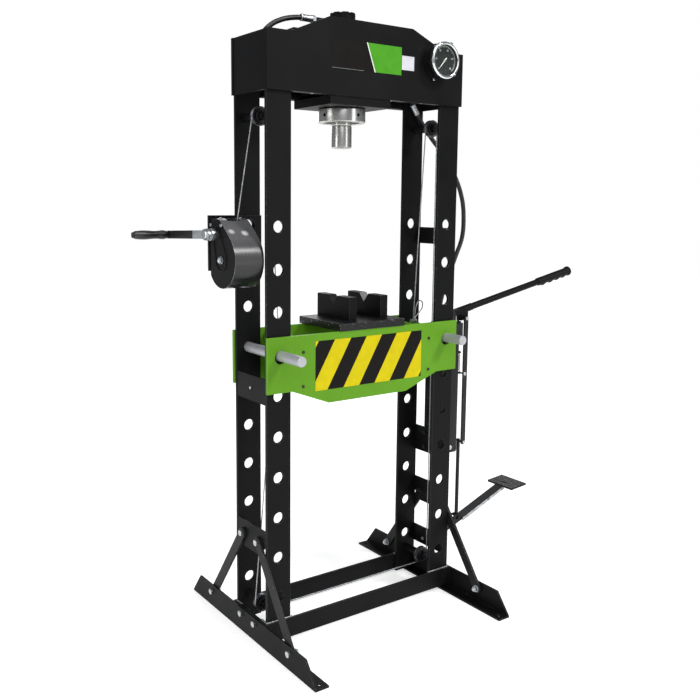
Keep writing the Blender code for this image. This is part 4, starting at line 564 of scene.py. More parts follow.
def hoseEnd(bm, spot, axis, nut=True):  # a swivel nut at the port, then the pressed sleeve
    start = spot
    if nut:
        hexHead(bm, spot, axis, hoses["nutFlats"], hoses["nutHeight"], bore=hoses["bore"])
        start = spot + axis * hoses["nutHeight"] / 1000
    turned(bm, filleted(hoses["sleeve"], 0.5, closed=True), start, axis, steps=48, ring=True)


def makeHose(hose, body, name):
    points = [at(x * 1000, y * 1000, z * 1000) for x, y, z in hose["route"]]
    path = smoothRoute(points, 8)
    bm = bmesh.new()
    swept(bm, path, wrappedSection)
    piece = finishPiece(name, bm, [hoseRubber], body, angle=60)
    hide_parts(hose["node"])
    return piece, path


def makeHoses():
    piece, path = makeHose(hoses["pump"], "frame", "hose_to_pump")
    bm = bmesh.new()
    hoseEnd(bm, path[0], (path[1] - path[0]).normalized())
    hoseEnd(bm, path[-1], (path[-2] - path[-1]).normalized())
    entry = min(range(len(path)), key=lambda i: abs(path[i].z - 1.581))  # where it goes up into the head
    hoseEnd(bm, path[entry], (path[entry + 1] - path[entry - 1]).normalized(), nut=False)
    fittings = finishPiece("pump_hose_fittings", bm, [zinc], "frame")
    piece, path = makeHose(hoses["cylinder"], None, "hose_to_cylinder")
    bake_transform(piece)
    bm = bmesh.new()
    hoseEnd(bm, path[0], (path[1] - path[0]).normalized())
    nearEnd = finishPiece("cylinder_hose_fitting", bm, [zinc], "carriage")
    bm = bmesh.new()
    hoseEnd(bm, path[-1], (path[-2] - path[-1]).normalized())
    farEnd = finishPiece("gauge_block_fitting", bm, [zinc], "frame")


makeHoses()
print("hoses laid")


# the welded frame and other imported nodes keep their shape; all are smoothed, and most get soft rubbed edges

def joinedSkin():
    tree = bpy.data.node_groups.new("joined_skin", "GeometryNodeTree")
    for way in ("INPUT", "OUTPUT"):
        tree.interface.new_socket("Geometry", in_out=way, socket_type="NodeSocketGeometry")
    source = addNode(tree, "NodeGroupInput")
    merged = addNode(tree, "GeometryNodeMergeByDistance", {"Distance": 0.00002}, {"Geometry": source.outputs[0]})
    bare = addNode(tree, "GeometryNodeRemoveAttribute", {"Name": "custom_normal"}, {"Geometry": merged.outputs[0]})
    angle = addNode(tree, "GeometryNodeInputMeshEdgeAngle")
    soft = addNode(tree, "FunctionNodeCompare", {"operation": "LESS_THAN", "B": math.radians(32)},
                   {"A": angle.outputs["Unsigned Angle"]})
    faces = addNode(tree, "GeometryNodeSetShadeSmooth", {"domain": "FACE"}, {"Geometry": bare.outputs[0]})
    edges = addNode(tree, "GeometryNodeSetShadeSmooth", {"domain": "EDGE"},
                    {"Geometry": faces.outputs[0], "Shade Smooth": soft.outputs[0]})
    addNode(tree, "NodeGroupOutput", {}, {"Geometry": edges.outputs[0]})
    return tree


skin = joinedSkin()
dressed = {
    "black": {"finish": blackCoat, "edge": blackEdge, "width": 0.8, "nodes": [
        "front_left_post", "front_right_post", "back_left_post", "back_right_post", "head_box", "base_frame",
        "left_foot", "right_foot", "left_brace_bracket", "right_brace_bracket", "pump_plate", "pedal_bracket",
        "winch_mount_plate", "cylinder_mount_plate", "hand_lever", "left_v_block", "right_v_block"]},
    "dusty": {"finish": tankCoat, "edge": blackEdge, "width": 0.8, "nodes": [
        "front_left_brace", "front_right_brace", "back_left_brace", "back_right_brace", "foot_pedal"]},
    "scuffed": {"finish": scuffedBlack, "edge": blackEdge, "width": 1.0, "nodes": ["press_plate"]},
    "green": {"finish": greenCoat, "edge": greenEdge, "width": 0.8, "nodes": [
        "bed_front_plate", "bed_back_plate", "bed_left_spacer", "bed_right_spacer"]},
    "smoothBlack": {"finish": blackCoat, "edge": None, "nodes": ["cylinder_barrel", "cylinder_top_nut"]},
    "tank": {"finish": tankCoat, "edge": None, "nodes": ["pump_tank"]},
    "cover": {"finish": coverCoat, "edge": bareRimAndPaintedSheen, "width": 0.9, "nodes": ["winch_cover"]},
    "oxide": {"finish": oxide, "edge": blackEdge, "width": 0.6, "nodes": [
        "winch_frame", "pump_block", "hose_manifold", "pedal_link"]},
    "smoothOxide": {"finish": oxide, "edge": None, "nodes": ["winch_drum"]},
    "steel": {"finish": steelZ, "edge": None, "nodes": ["pump_plunger"]},
    "zinc": {"finish": zinc, "edge": None, "nodes": ["crank_shaft"]},
    "crank": {"finish": crankZinc, "edge": None, "nodes": ["crank_arm"]}}


def dress(node, group):
    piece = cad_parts[node]
    piece.material_slots[0].material = group["finish"]
    joined = piece.modifiers.new("joined_skin", "NODES")
    joined.node_group = skin
    if group["edge"] is None:
        return
    piece.data.materials.append(group["edge"])
    flat = piece.modifiers.new("flat_faces", "DECIMATE")
    flat.decimate_type = "DISSOLVE"
    flat.angle_limit = math.radians(0.4)
    bevel = piece.modifiers.new("broken_edges", "BEVEL")
    bevel.width = group["width"] / 1000
    bevel.segments = 2
    bevel.limit_method = "ANGLE"
    bevel.angle_limit = math.radians(38)
    bevel.material = 1
    bevel.harden_normals = True


for group in dressed.values():
    for node in group["nodes"]:
        dress(node, group)
print("packed nodes dressed:", sum(len(group["nodes"]) for group in dressed.values()))


# cylinder: ram, ring nut and the screws of the rails it slides on

cylinder = {"x": -37.0, "ramLow": 1452.0, "ramRadius": 30.0, "ramGroove": 1516.0, "ramShoulder": 1735.0,
            "pistonRadius": 44.4, "ramTop": 1765.0, "ramBore": 17.0, "ramFloor": 1500.0, "ringLow": 1525.7, "ringHigh": 1567.7, "ringRadius": 70.5,
            "ringBore": 55.3, "ringHole": 4.5, "ringHoleDepth": 9.0, "ringHoles": 4, "ringTurn": 8.0}
ramSpring = {"radius": 11.0, "wire": 2.0, "turns": 9, "low": 1500.3, "high": 1769.7, "lead": 8.0}
railScrews = {"xs": (-200.0, -80.0, 80.0, 200.0), "y": 82.5, "z": 1593.5, "flats": 10.0, "height": 0.4}


def makeRam():
    c = cylinder
    r = c["ramRadius"]
    low, groove = c["ramLow"], c["ramGroove"]
    profile = filleted([(0, low + 4), (5, low), (r - 3, low), (r, low + 3), (r, groove), (r - 1.5, groove + 1.5),
                        (r - 1.5, groove + 3), (r, groove + 4.5), (r, c["ramShoulder"]),
                        (c["pistonRadius"], c["ramShoulder"]), (c["pistonRadius"], c["ramTop"]),
                        (c["ramBore"], c["ramTop"]), (c["ramBore"], c["ramFloor"]), (0, c["ramFloor"])], 0.8)
    bm = bmesh.new()
    turned(bm, profile, at(c["x"], 0, 0), zAxis, steps=96)
    piece = finishPiece("turned_ram", bm, [steelZ], "ram")
    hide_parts("ram")


def makeRamSpring():  # hangs from the top of the barrel into the bored ram; the real one stretches as the ram comes out, this coil is drawn at one fixed length
    s, x = ramSpring, cylinder["x"]
    first, last = s["low"] + s["lead"], s["high"] - s["lead"]
    steps = s["turns"] * 20
    path = [at(x + s["radius"], 0, s["low"])]
    for k in range(steps + 1):
        turn = fullTurn * k / 20
        path.append(at(x + s["radius"] * math.cos(turn), s["radius"] * math.sin(turn), first + (last - first) * k / steps))
    path.append(at(x + s["radius"], 0, s["high"]))
    bm = bmesh.new()
    swept(bm, path, roundSection(s["wire"], 10))
    piece = finishPiece("ram_spring_coil", bm, [springWire], None, angle=80)
    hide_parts("ram_return_spring")
    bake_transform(piece)


def makeRingNut():
    c = cylinder
    r, bore = c["ringRadius"], c["ringBore"]
    low, high = c["ringLow"], c["ringHigh"]
    profile = filleted([(bore, low + 1.5), (bore + 1.5, low), (r - 3, low), (r, low + 3), (r, high - 3),
                        (r - 3, high), (bore + 1.5, high), (bore, high - 1.5)], 0.7, closed=True)
    bm = bmesh.new()
    turned(bm, profile, at(c["x"], 0, 0), zAxis, steps=128, ring=True)
    piece = finishPiece("turned_ring_nut", bm, [steelZ], "carriage")
    bm = bmesh.new()
    for i in range(c["ringHoles"]):
        angle = math.radians(c["ringTurn"]) + i * fullTurn / c["ringHoles"]
        out = Vector((math.cos(angle), math.sin(angle), 0))
        bottom = at(c["x"], 0, (low + high) / 2) + out * (r - c["ringHoleDepth"]) / 1000
        profile = [(0, 0), (c["ringHole"], 0), (c["ringHole"], c["ringHoleDepth"] - 0.7),
                   (c["ringHole"] + 2.7, c["ringHoleDepth"] + 2), (0, c["ringHoleDepth"] + 2)]
        turned(bm, profile, bottom, out, steps=24)
    cutter = finishPiece("spanner_holes", bm, [oxide], "carriage")
    cut = piece.modifiers.new("spanner_holes", "BOOLEAN")
    cut.operation = "DIFFERENCE"
    cut.material_mode = "TRANSFER"  # the drilled walls take the cutter's dark oxide, darker than the turned steel round them
    cut.object = cutter
    shaped = bpy.data.meshes.new_from_object(piece.evaluated_get(bpy.context.evaluated_depsgraph_get()))
    piece.modifiers.clear()
    piece.data = shaped
    shaped.set_sharp_from_angle(angle=math.radians(35))
    bpy.data.objects.remove(cutter)
    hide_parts("cylinder_ring_nut")


def makeRailScrews():
    bm = bmesh.new()
    for x in railScrews["xs"]:
        for sy in sides:
            spot = at(x, sy * railScrews["y"], railScrews["z"])
            hexHead(bm, spot, -zAxis, railScrews["flats"], railScrews["height"])
    finishPiece("rail_screws", bm, [zinc], "frame")


makeRam()
makeRamSpring()
makeRingNut()
makeRailScrews()
print("cylinder turned")


# bed: support pins, small bolts, hazard stripes, and bare V faces on the blocks

pins = {"radius": 15.0, "length": 324.0, "chamfer": 2.0, "z": 862.3, "front": {"left": -212.0, "right": -181.0},
        "x": 313.0}
bedBolts = {"x": 238.0, "heights": (866.0, 766.0), "flats": 8.0, "height": 3.0}
stripes = {"left": -196.0, "right": 207.0, "low": 747.0, "high": 894.0, "first": -212.0, "pitch": 116.7,
           "wide": 58.5, "lean": 85.0, "film": 0.25}
notches = {"left": -46.0, "right": 73.0, "wide": 28.0, "y": 25.0, "half": 23.0, "top": 1008.3, "depth": 28.0,
           "skin": 0.3}


def makePins():
    for side, sx in zip(("left", "right"), sides):
        r, length, cut = pins["radius"], pins["length"], pins["chamfer"]
        profile = filleted([(0, 1.2), (r - cut - 3, 0.4), (r - cut, 0), (r, cut), (r, length - cut),
                            (r - cut, length), (0, length)], 0.8)
        bm = bmesh.new()
        turned(bm, profile, at(sx * pins["x"], pins["front"][side], pins["z"]), yAxis, steps=72)
        piece = finishPiece(f"{side}_support_pin", bm, [steelY], f"{side}_pin")
        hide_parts(f"{side}_pin")


def clipped(outline, left, right):  # keeps the stretch of an outline between two upright lines
    for limit, sign in ((left, 1), (right, -1)):
        kept = []
        for (a, b), (c, d) in zip(outline, outline[1:] + outline[:1]):
            inside, nextIn = sign * (a - limit) >= 0, sign * (c - limit) >= 0
            if inside:
                kept.append((a, b))
            if inside != nextIn:
                kept.append((limit, b + (d - b) * (limit - a) / (c - a)))
        outline = kept
    return outline


def makeStripes():
    s = stripes
    face = edgeOf("bed_front_plate", 0, 1)
    bm = bmesh.new()
    board = [(s["left"], s["low"]), (s["right"], s["low"]), (s["right"], s["high"]), (s["left"], s["high"])]
    extruded(bm, [board], s["film"], at(0, face, 0), xAxis, zAxis)
    count = int((s["right"] - s["first"]) / s["pitch"]) + 1
    for i in range(-1, count):
        start = s["first"] + s["pitch"] * i
        band = [(start, s["low"]), (start + s["wide"], s["low"]), (start + s["wide"] + s["lean"], s["high"]),
                (start + s["lean"], s["high"])]
        band = clipped(band, s["left"], s["right"])
        if len(band) > 2:
            extruded(bm, [band], s["film"], at(0, face - s["film"], 0), xAxis, zAxis, slot=1)
    finishPiece("hazard_stripes", bm, [blackFilm, yellowFilm], "bed")


def makeBedBolts():
    bm = bmesh.new()
    for sx in sides:
        for z in bedBolts["heights"]:
            for node, corner, way in (("bed_front_plate", 0, -1), ("bed_back_plate", 1, 1)):
                spot = at(sx * bedBolts["x"], edgeOf(node, corner, 1), z)
                hexHead(bm, spot, yAxis * way, bedBolts["flats"], bedBolts["height"])
    finishPiece("bed_bolts", bm, [oxide], "bed")


def makeNotchFaces():
    n = notches
    y, half, skinThick = n["y"], n["half"], n["skin"]
    deep = n["top"] - n["depth"]
    outline = [(y - half, n["top"]), (y, deep), (y + half, n["top"]), (y + half - skinThick, n["top"]),
               (y, deep + skinThick), (y - half + skinThick, n["top"])]
    for side, finish in (("left", oxide), ("right", filedSteel)):  # the left one is still dark from the mill
        bm = bmesh.new()
        extruded(bm, [outline], n["wide"], at(n[side], 0, 0), yAxis, zAxis)
        finishPiece(f"{side}_v_face", bm, [finish], f"{side}_v_block")


makePins()
makeStripes()
makeBedBolts()
makeNotchFaces()
print("bed finished")


# gauge: case with its dial, printed scale, needle, glass and bezel, all turned about one axis

gauge = {"x": 248.0, "z": 1720.0, "flange": 54.0, "case": 50.0, "rim": 46.4, "dialDepth": 30.0, "depth": 36.0,
         "stem": 7.0, "glassLow": 36.3, "glassHigh": 39.9, "bezel": 55.0, "bezelLow": 28.8, "bezelHigh": 43.0,
         "opening": 46.0, "lip": 2.8, "zero": 229.0, "sweep": 270.0, "ears": (253.0, 73.0),
         "clips": (190.0, 70.0, 310.0)}
scale = {"ring": 43.0, "major": 5.6, "minor": 3.2, "thick": 0.2, "steps": 50, "numbers": 6, "numberRing": 32.6,
         "numberSize": 6.4}
needle = {"length": 36.0, "tail": 10.0, "hub": 3.6, "wide": 1.8, "blade": 1.2}


def gaugeSpot(depth):
    return at(gauge["x"], edgeOf("head_box", 0, 1) - depth, gauge["z"])


def dialWay(angle):  # the two directions of a dial mark at this many degrees
    turn = math.radians(angle)
    return Vector((math.cos(turn), 0, math.sin(turn))), Vector((-math.sin(turn), 0, math.cos(turn)))


def makeGaugeCase():
    g = gauge
    bm = bmesh.new()
    profile = [(0, -45), (g["stem"], -45), (g["stem"], 0.3), (g["flange"], 0.3), (g["flange"], 3.9), (g["case"], 3.9),
               (g["case"], g["depth"]), (g["rim"], g["depth"]), (g["rim"], g["dialDepth"]), (0, g["dialDepth"])]
    turned(bm, filleted(profile, 0.6), gaugeSpot(0), -yAxis, steps=112)
    for face in bm.faces:
        middle = face.calc_center_median() - gaugeSpot(0)
        if abs(middle.y + g["dialDepth"] / 1000) < 0.0004 and math.hypot(middle.x, middle.z) < g["rim"] / 1000:
            face.material_index = 1
    piece = finishPiece("gauge_body", bm, [blackCoat, dialCoat], "frame")
    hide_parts("gauge_case")
    bm = bmesh.new()
    for angle in g["ears"]:  # ears that hold the flange to the head
        along, across = dialWay(angle)
        spot = gaugeSpot(0.4) + along * (g["flange"] + 2) / 1000
        turned(bm, filleted([(0, 0), (7, 0), (7, 3.2), (0, 3.2)], 0.5), spot, -yAxis, steps=32)
        turned(bm, filleted([(0, 3.2), (4.2, 3.2), (4.2, 5.4), (3, 6), (0, 6)], 0.4), spot, -yAxis, steps=24, slot=1)
    finishPiece("gauge_ears", bm, [blackCoat, zinc], "frame")


def dialNumber(bm, words, spot):
    text = bpy.data.curves.new("dial_number", "FONT")
    text.body = words
    text.size = scale["numberSize"] / 1000
    text.extrude = scale["thick"] / 2000
    text.align_x = "CENTER"
    text.align_y = "CENTER"
    holder = bpy.data.objects.new("dial_number", text)
    bpy.context.collection.objects.link(holder)
    bpy.context.view_layer.update()
    mesh = bpy.data.meshes.new_from_object(holder.evaluated_get(bpy.context.evaluated_depsgraph_get()))
    mesh.transform(Matrix.Translation(spot) @ Matrix.Rotation(math.pi / 2, 4, "X"))
    bm.from_mesh(mesh)
    bpy.data.objects.remove(holder)
    bpy.data.curves.remove(text)
    bpy.data.meshes.remove(mesh)


def makeDial():
    g, s = gauge, scale
    bm = bmesh.new()
    for i in range(s["numbers"]):
        along, across = dialWay(g["zero"] - g["sweep"] * i / (s["numbers"] - 1))
        spot = gaugeSpot(g["dialDepth"] + s["thick"] / 2) + along * s["numberRing"] / 1000
        dialNumber(bm, str(i * 10), spot)
    bmesh.ops.remove_doubles(bm, verts=bm.verts, dist=0.000001)
    for i in range(s["steps"] + 1):
        along, across = dialWay(g["zero"] - g["sweep"] * i / s["steps"])
        major = i % 5 == 0
        near = s["ring"] - (s["major"] if major else s["minor"])
        half = 0.45 if major else 0.24
        mark = [(near, -half), (s["ring"], -half), (s["ring"], half), (near, half)]
        extruded(bm, [mark], s["thick"], gaugeSpot(g["dialDepth"]), along, across)
    first, last = math.radians(g["zero"]), math.radians(g["zero"] - g["sweep"])
    band = arcAround((0, 0), s["ring"] + 0.9, first, last, 90) + arcAround((0, 0), s["ring"], last, first, 90)
    extruded(bm, [band], s["thick"], gaugeSpot(g["dialDepth"]), xAxis, zAxis)
    finishPiece("dial_print", bm, [whiteCoat], "frame")


def makeNeedle():
    n = needle
    along, across = dialWay(gauge["zero"])
    hub = gaugeSpot(gauge["dialDepth"] + 0.3)
    bm = bmesh.new()
    blade = [(-n["tail"], -n["wide"]), (n["length"] * 0.6, -n["wide"] / 2), (n["length"], 0),
             (n["length"] * 0.6, n["wide"] / 2), (-n["tail"], n["wide"])]
    extruded(bm, [blade], n["blade"], hub - yAxis * n["hub"] / 2000, along, across)
    turned(bm, filleted([(0, 0), (n["hub"], 0), (n["hub"], n["hub"]), (0, n["hub"])], 0.7), hub, -yAxis, steps=40,
           slot=1)
    piece = finishPiece("needle_blade", bm, [whiteCoat, zinc], "gauge_needle")
    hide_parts("gauge_needle")


def makeBezel():
    g = gauge
    low, high, lip = g["bezelLow"], g["bezelHigh"], g["lip"]
    profile = [(g["case"] + 0.2, low), (g["bezel"], low), (g["bezel"], high - lip * 1.4),
               (g["bezel"] - lip, high), (g["opening"] + 2, high), (g["opening"], high - 1.6),
               (g["opening"], high - lip), (g["case"] + 0.2, high - lip)]
    bm = bmesh.new()
    turned(bm, filleted(profile, 1.3, closed=True), gaugeSpot(0), -yAxis, steps=128, ring=True)
    piece = finishPiece("gauge_bezel_ring", bm, [chrome], "frame")
    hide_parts("gauge_bezel")
    bm = bmesh.new()
    for angle in g["clips"]:  # folded clips that grip the bezel's edge
        along, across = dialWay(angle)
        clip = filleted([(g["bezel"] - 4, -4), (g["bezel"] + 1.2, -4), (g["bezel"] + 1.2, 4), (g["bezel"] - 4, 4)], 1,
                        closed=True)
        extruded(bm, [clip], high - low + 1, gaugeSpot(low), along, across)
    finishPiece("bezel_clips", bm, [chrome], "frame")
    bm = bmesh.new()
    r = g["case"]
    pane = [(0, g["glassLow"]), (r - 0.5, g["glassLow"]), (r, g["glassLow"] + 0.5), (r, g["glassHigh"] - 0.5),
            (r - 0.5, g["glassHigh"]), (0, g["glassHigh"])]
    turned(bm, pane, gaugeSpot(0), -yAxis, steps=96)
    piece = finishPiece("gauge_window", bm, [glass], "frame")
    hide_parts("gauge_glass")


# head label: a plain dark board with a green panel

label = {"left": -145.0, "right": 107.0, "low": 1667.5, "high": 1748.0, "slantHigh": -23.0, "slantLow": 7.0,
         "border": 3.2, "rule": 1.2, "film": 0.25, "sticker": (108.5, 156.0, 1684.0, 1725.0)}


def makeLabel():
    k = label
    low, high, film = k["low"], k["high"], k["film"]
    face = edgeOf("head_box", 0, 1)
    bm = bmesh.new()
    board = [(k["left"], low), (k["slantLow"], low), (k["slantHigh"], high), (k["left"], high)]
    extruded(bm, [board], film, at(0, face, 0), xAxis, zAxis)
    rule = [(k["left"], low), (k["slantLow"] - 40, low), (k["slantLow"] - 40, low + k["rule"]),
            (k["left"], low + k["rule"])]
    extruded(bm, [rule], film, at(0, face - film, 0), xAxis, zAxis, slot=1)
    edge = [(k["slantLow"], low), (k["slantLow"] + k["border"], low), (k["slantHigh"] + k["border"], high),
            (k["slantHigh"], high)]
    extruded(bm, [edge], film, at(0, face, 0), xAxis, zAxis, slot=2)
    panel = [(k["slantLow"] + k["border"], low), (k["right"], low), (k["right"], high),
             (k["slantHigh"] + k["border"], high)]
    extruded(bm, [panel], film, at(0, face, 0), xAxis, zAxis, slot=3)
    left, right, low, high = k["sticker"]  # a blank sticker
    extruded(bm, [[(left, low), (right, low), (right, high), (left, high)]], film, at(0, face, 0), xAxis, zAxis, slot=4)
    finishPiece("head_label", bm, [blackFilm, greyFilm, whiteFilm, greenFilm, paperFilm], "frame")


makeGaugeCase()
makeDial()
makeNeedle()
makeBezel()
makeLabel()
print("gauge and label made")


# ropes, pulleys and what holds the rope ends to the bed

ropes = {"radius": 2.0, "lay": 15.0, "pitch": 23.8, "wind": 22.3, "topX": 320.0, "topZ": 1530.0, "lowX": 317.0,
         "lowZ": 92.0, "drumX": -400.0, "drumZ": 1130.0, "lugTop": 903.0, "lugThick": 6.0, "tail": 16.0,
         "hole": 257.5, "farHole": 268.0}  # a real lay is about 26 mm, drawn shorter so that the strands show
coilOnDrum = {"first": -395.0, "last": -372.5, "turns": 5}
pulley = {"bore": 8.3, "radius": 27.0, "half": 7.0, "groove": 21.5, "lip": 2.3, "hub": 13.0}
ferrule = {"radius": 4.8, "bore": 3.1, "length": 15.0}
eyeLoop = [(259.5, -3, 910), (261.5, -5, 930), (264.5, -6, 951), (271, -5, 966), (283, -2, 974), (295, 0, 970),
           (301, 2, 960), (298, 3, 946), (288, 4, 934), (274, 4.5, 921), (262, 4.5, 909)]
clip = {"half": 11.0, "front": -8.5, "back": 3.0, "tall": 11.0, "legs": 6.6, "rod": 1.9, "nut": 7.5}


def strands(step, distance):  # six strands laid round a core
    spin = fullTurn * distance / ropes["lay"]
    ring = []
    for k in range(24):
        angle = fullTurn * k / 24
        swell = ropes["radius"] * (0.84 + 0.16 * abs(math.cos(3 * angle)))
        ring.append((swell * math.cos(angle + spin), swell * math.sin(angle + spin)))
    return ring


def touch(point, centre, side):  # the angle at which a taut rope from a point meets a pulley
    da, db = point[0] - centre[0], point[1] - centre[1]
    return math.atan2(db, da) + side * math.acos(ropes["pitch"] / math.hypot(da, db))


def makeRope(name, points, node):
    path = evenly([at(x, y, z) for x, y, z in points], 2.5)
    bm = bmesh.new()
    swept(bm, path, strands)
    piece = finishPiece(name, bm, [ropeWire], "frame", angle=80)
    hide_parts(node)


def makeRopes():
    r = ropes
    pitch, hole, lugTop = r["pitch"], r["hole"], r["lugTop"]
    tail = lugTop - r["lugThick"] - r["tail"]
    topLeft, topRight = (-r["topX"], r["topZ"]), (r["topX"], r["topZ"])
    lowLeft, lowRight = (-r["lowX"], r["lowZ"]), (r["lowX"], r["lowZ"])
    lead = [(r["drumX"], y, z) for y, z in arcAround((0, r["drumZ"]), r["wind"], -math.pi / 2, 0, 12)]
    start = touch((r["drumX"], r["drumZ"]), topLeft, -1) % fullTurn
    bend = arcAround(topLeft, pitch, start, touch((-hole, lugTop), topLeft, 1), 24)
    down = (-hole - (bend[-1][0] + hole) * r["tail"] / lugTop, 0, tail)
    makeRope("winch_rope", lead + [(x, 0, z) for x, z in bend] + [down], "winch_cable")
    lean = math.atan2(r["topX"] - r["lowX"], r["topZ"] - r["lowZ"])
    line = [(hole, tail)]
    line += arcAround(topRight, pitch, touch((hole, lugTop), topRight, -1) % fullTurn, -lean, 24)
    line += arcAround(lowRight, pitch, -lean, -math.pi / 2, 14)
    slant = (r["lowX"] + pitch - r["farHole"]) / (lugTop - r["lowZ"])
    peak = (slant * (r["tail"] + r["lugThick"] / 2) - r["farHole"], lugTop + r["tail"])
    line += arcAround(lowLeft, pitch, math.pi * 1.5, touch(peak, lowLeft, 1) % fullTurn, 14) + [peak]
    makeRope("levelling_rope", [(x, 0, z) for x, z in line], "levelling_cable")


def makeDrumCoil():
    c, r = coilOnDrum, ropes
    path = []
    for k in range(c["turns"] * 48 + 1):
        turn = fullTurn * k / 48
        x = c["first"] + (c["last"] - c["first"]) * k / (c["turns"] * 48)
        path.append(at(x, r["wind"] * math.cos(turn), r["drumZ"] + r["wind"] * math.sin(turn)))
    bm = bmesh.new()
    swept(bm, path, strands)
    finishPiece("rope_on_drum", bm, [ropeWire], "winch_drum", angle=80)


def makePulleys():
    p = pulley
    half, r, hub = p["half"], p["radius"], p["hub"]
    side = [(p["bore"], half), (hub, half), (hub + 1, half - 2), (r - 6.5, half - 2), (r - 5, half), (r, half),
            (r, half * 0.75), (p["groove"], p["lip"])]
    profile = filleted([(a, -b) for a, b in side] + side[::-1], 0.5, closed=True)
    for level, x, z in (("top", ropes["topX"], ropes["topZ"]), ("low", ropes["lowX"], ropes["lowZ"])):
        for name, sx in zip(("left", "right"), sides):
            bm = bmesh.new()
            turned(bm, profile, at(sx * x, 0, z), yAxis, steps=80, ring=True)
            for face in bm.faces:
                middle = face.calc_center_median() - at(sx * x, 0, z)
                if math.hypot(middle.x, middle.z) > (r - 5.2) / 1000:
                    face.material_index = 1
            piece = finishPiece(f"{level}_{name}_sheave", bm, [oxide, rimSteel], f"{level}_{name}_pulley")
            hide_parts(f"{level}_{name}_pulley")
    bm = bmesh.new()
    for x, z in ((ropes["topX"], ropes["topZ"]), (ropes["lowX"], ropes["lowZ"])):
        for sx in sides:
            hexHead(bm, at(sx * x, -half - 6.3, z), -yAxis, 17.0, 6.0)
            screwed(bm, at(sx * x, edgeOf("back_left_post", 1, 1), z), yAxis, 19.0, "nut")
    finishPiece("pulley_nuts", bm, [oxide], "frame")


def makeRopeEnds():
    r, f = ropes, ferrule
    under = r["lugTop"] - r["lugThick"]
    sleeve = filleted([(f["bore"], 0), (f["radius"], 0), (f["radius"], f["length"]), (f["bore"], f["length"])], 0.8,
                      closed=True)
    bm = bmesh.new()
    ends = ((-r["hole"], under - 0.3, -1), (r["hole"], under - 0.3, -1), (-r["farHole"], r["lugTop"] + 0.3, 1))
    for x, z, way in ends:
        turned(bm, sleeve, at(x, 0, z), zAxis * way, steps=32, ring=True)
    c, spot = clip, at(r["hole"], 0, r["lugTop"] + 1)
    saddle = filleted([(-c["half"], c["front"]), (c["half"], c["front"]), (c["half"], c["back"]),
                       (-c["half"], c["back"])], 2.5, closed=True)
    extruded(bm, [saddle, circleOf((0, 0), 2.3, 16)], c["tall"], spot, xAxis, yAxis)
    middle = spot + zAxis * c["tall"] / 2000
    bow = [(-c["legs"], c["front"] - 5)] + arcAround((0, c["back"]), c["legs"], math.pi, 0, 16)
    bow += [(c["legs"], c["front"] - 5)]
    swept(bm, [middle + (xAxis * a + yAxis * b) / 1000 for a, b in bow], roundSection(c["rod"]))
    for sx in sides:
        hexHead(bm, middle + (xAxis * sx * c["legs"] + yAxis * c["front"]) / 1000, -yAxis, c["nut"], 4.0)
    finishPiece("rope_clamps", bm, [zinc], "bed")
    bm = bmesh.new()
    swept(bm, evenly(smoothRoute([at(*p) for p in eyeLoop], 10), 1.6), strands)
    finishPiece("rope_eye", bm, [ropeWire], "bed", angle=80)


makeRopes()
makeDrumCoil()
makePulleys()
makeRopeEnds()
print("ropes reeved")


# winch: side plate with its rib, nuts and screws on the cover, hub nut and grip of the crank

winch = {"drum": (0.0, 1130.0), "crank": (27.98, 1200.66), "big": 80.0, "small": 44.0, "back": 65.6, "left": -444.0,
         "plate": 0.8, "ribBig": 31.0, "ribSmall": 19.0, "rib": 2.6, "shaftHole": 9.0, "shoulderHole": 12.5,
         "shaftEnd": -452.0, "armLeft": -474.0, "screws": ((58.0, 1226.0), (-2.0, 1226.0))}
crankGrip = {"y": 289.82, "z": 1191.52, "start": -474.3, "profile": [
    (5.4, 0), (10.8, 0), (12, 1.5), (12.2, 6), (13.8, 14), (13.9, 20), (12.5, 32), (12.1, 40), (12.6, 50), (13.6, 64),
    (14, 75), (13.7, 87), (12.6, 98), (12.2, 103), (10.4, 107), (9.4, 108), (5.4, 108)]}


def teardrop(big, small, back=None):  # the outline of two circles and the belt round them, in y and z
    (ay, az), (by, bz) = winch["drum"], winch["crank"]
    lean = math.atan2(bz - az, by - ay)
    wrap = math.acos((big - small) / math.hypot(by - ay, bz - az))
    first, last = lean - wrap, fullTurn + lean - wrap
    if back is not None:
        first, last = math.acos((back - by) / small), fullTurn - math.acos((back - ay) / big)
    return arcAround((by, bz), small, first, lean + wrap, 24) + arcAround((ay, az), big, lean + wrap, last, 48)


def makeWinchSide():
    w = winch
    bm = bmesh.new()
    loops = [teardrop(w["big"] - 1.5, w["small"] - 1.5, w["back"] - 1.5), circleOf(w["drum"], w["shaftHole"]),
             circleOf(w["crank"], w["shoulderHole"])]
    extruded(bm, loops, w["plate"], at(w["left"] - w["plate"], 0, 0), yAxis, zAxis)
    rib = [at(w["left"] - w["plate"], y, z) for y, z in teardrop(w["ribBig"], w["ribSmall"])]
    swept(bm, rib[:-1], roundSection(w["rib"], 20), closed=True)
    finishPiece("winch_side_plate", bm, [blackCoat], "frame")
    bm = bmesh.new()
    for y, z in w["screws"]:
        screwed(bm, at(w["left"] - w["plate"], y, z), -xAxis, 9.0, "head")
    top = w["crank"][1] + w["small"]
    for x in (-431.0, -369.0):
        screwed(bm, at(x, w["crank"][0], top), zAxis, 8.0, "head")
    finishPiece("winch_screws", bm, [zinc], "frame")
    bm = bmesh.new()
    end = at(w["left"] - w["plate"] - 0.4, *w["drum"])
    washer(bm, end, -xAxis, 8.3, 11.0, 1.4)
    hexHead(bm, end - xAxis * 0.0015, -xAxis, 17.0, 5.5)
    turned(bm, filleted([(0, 5), (6.8, 5), (6, 8), (0, 10.5)], 2.3), end - xAxis * 0.0015, -xAxis, steps=40)
    finishPiece("drum_cap_nut", bm, [zinc], "winch_drum")


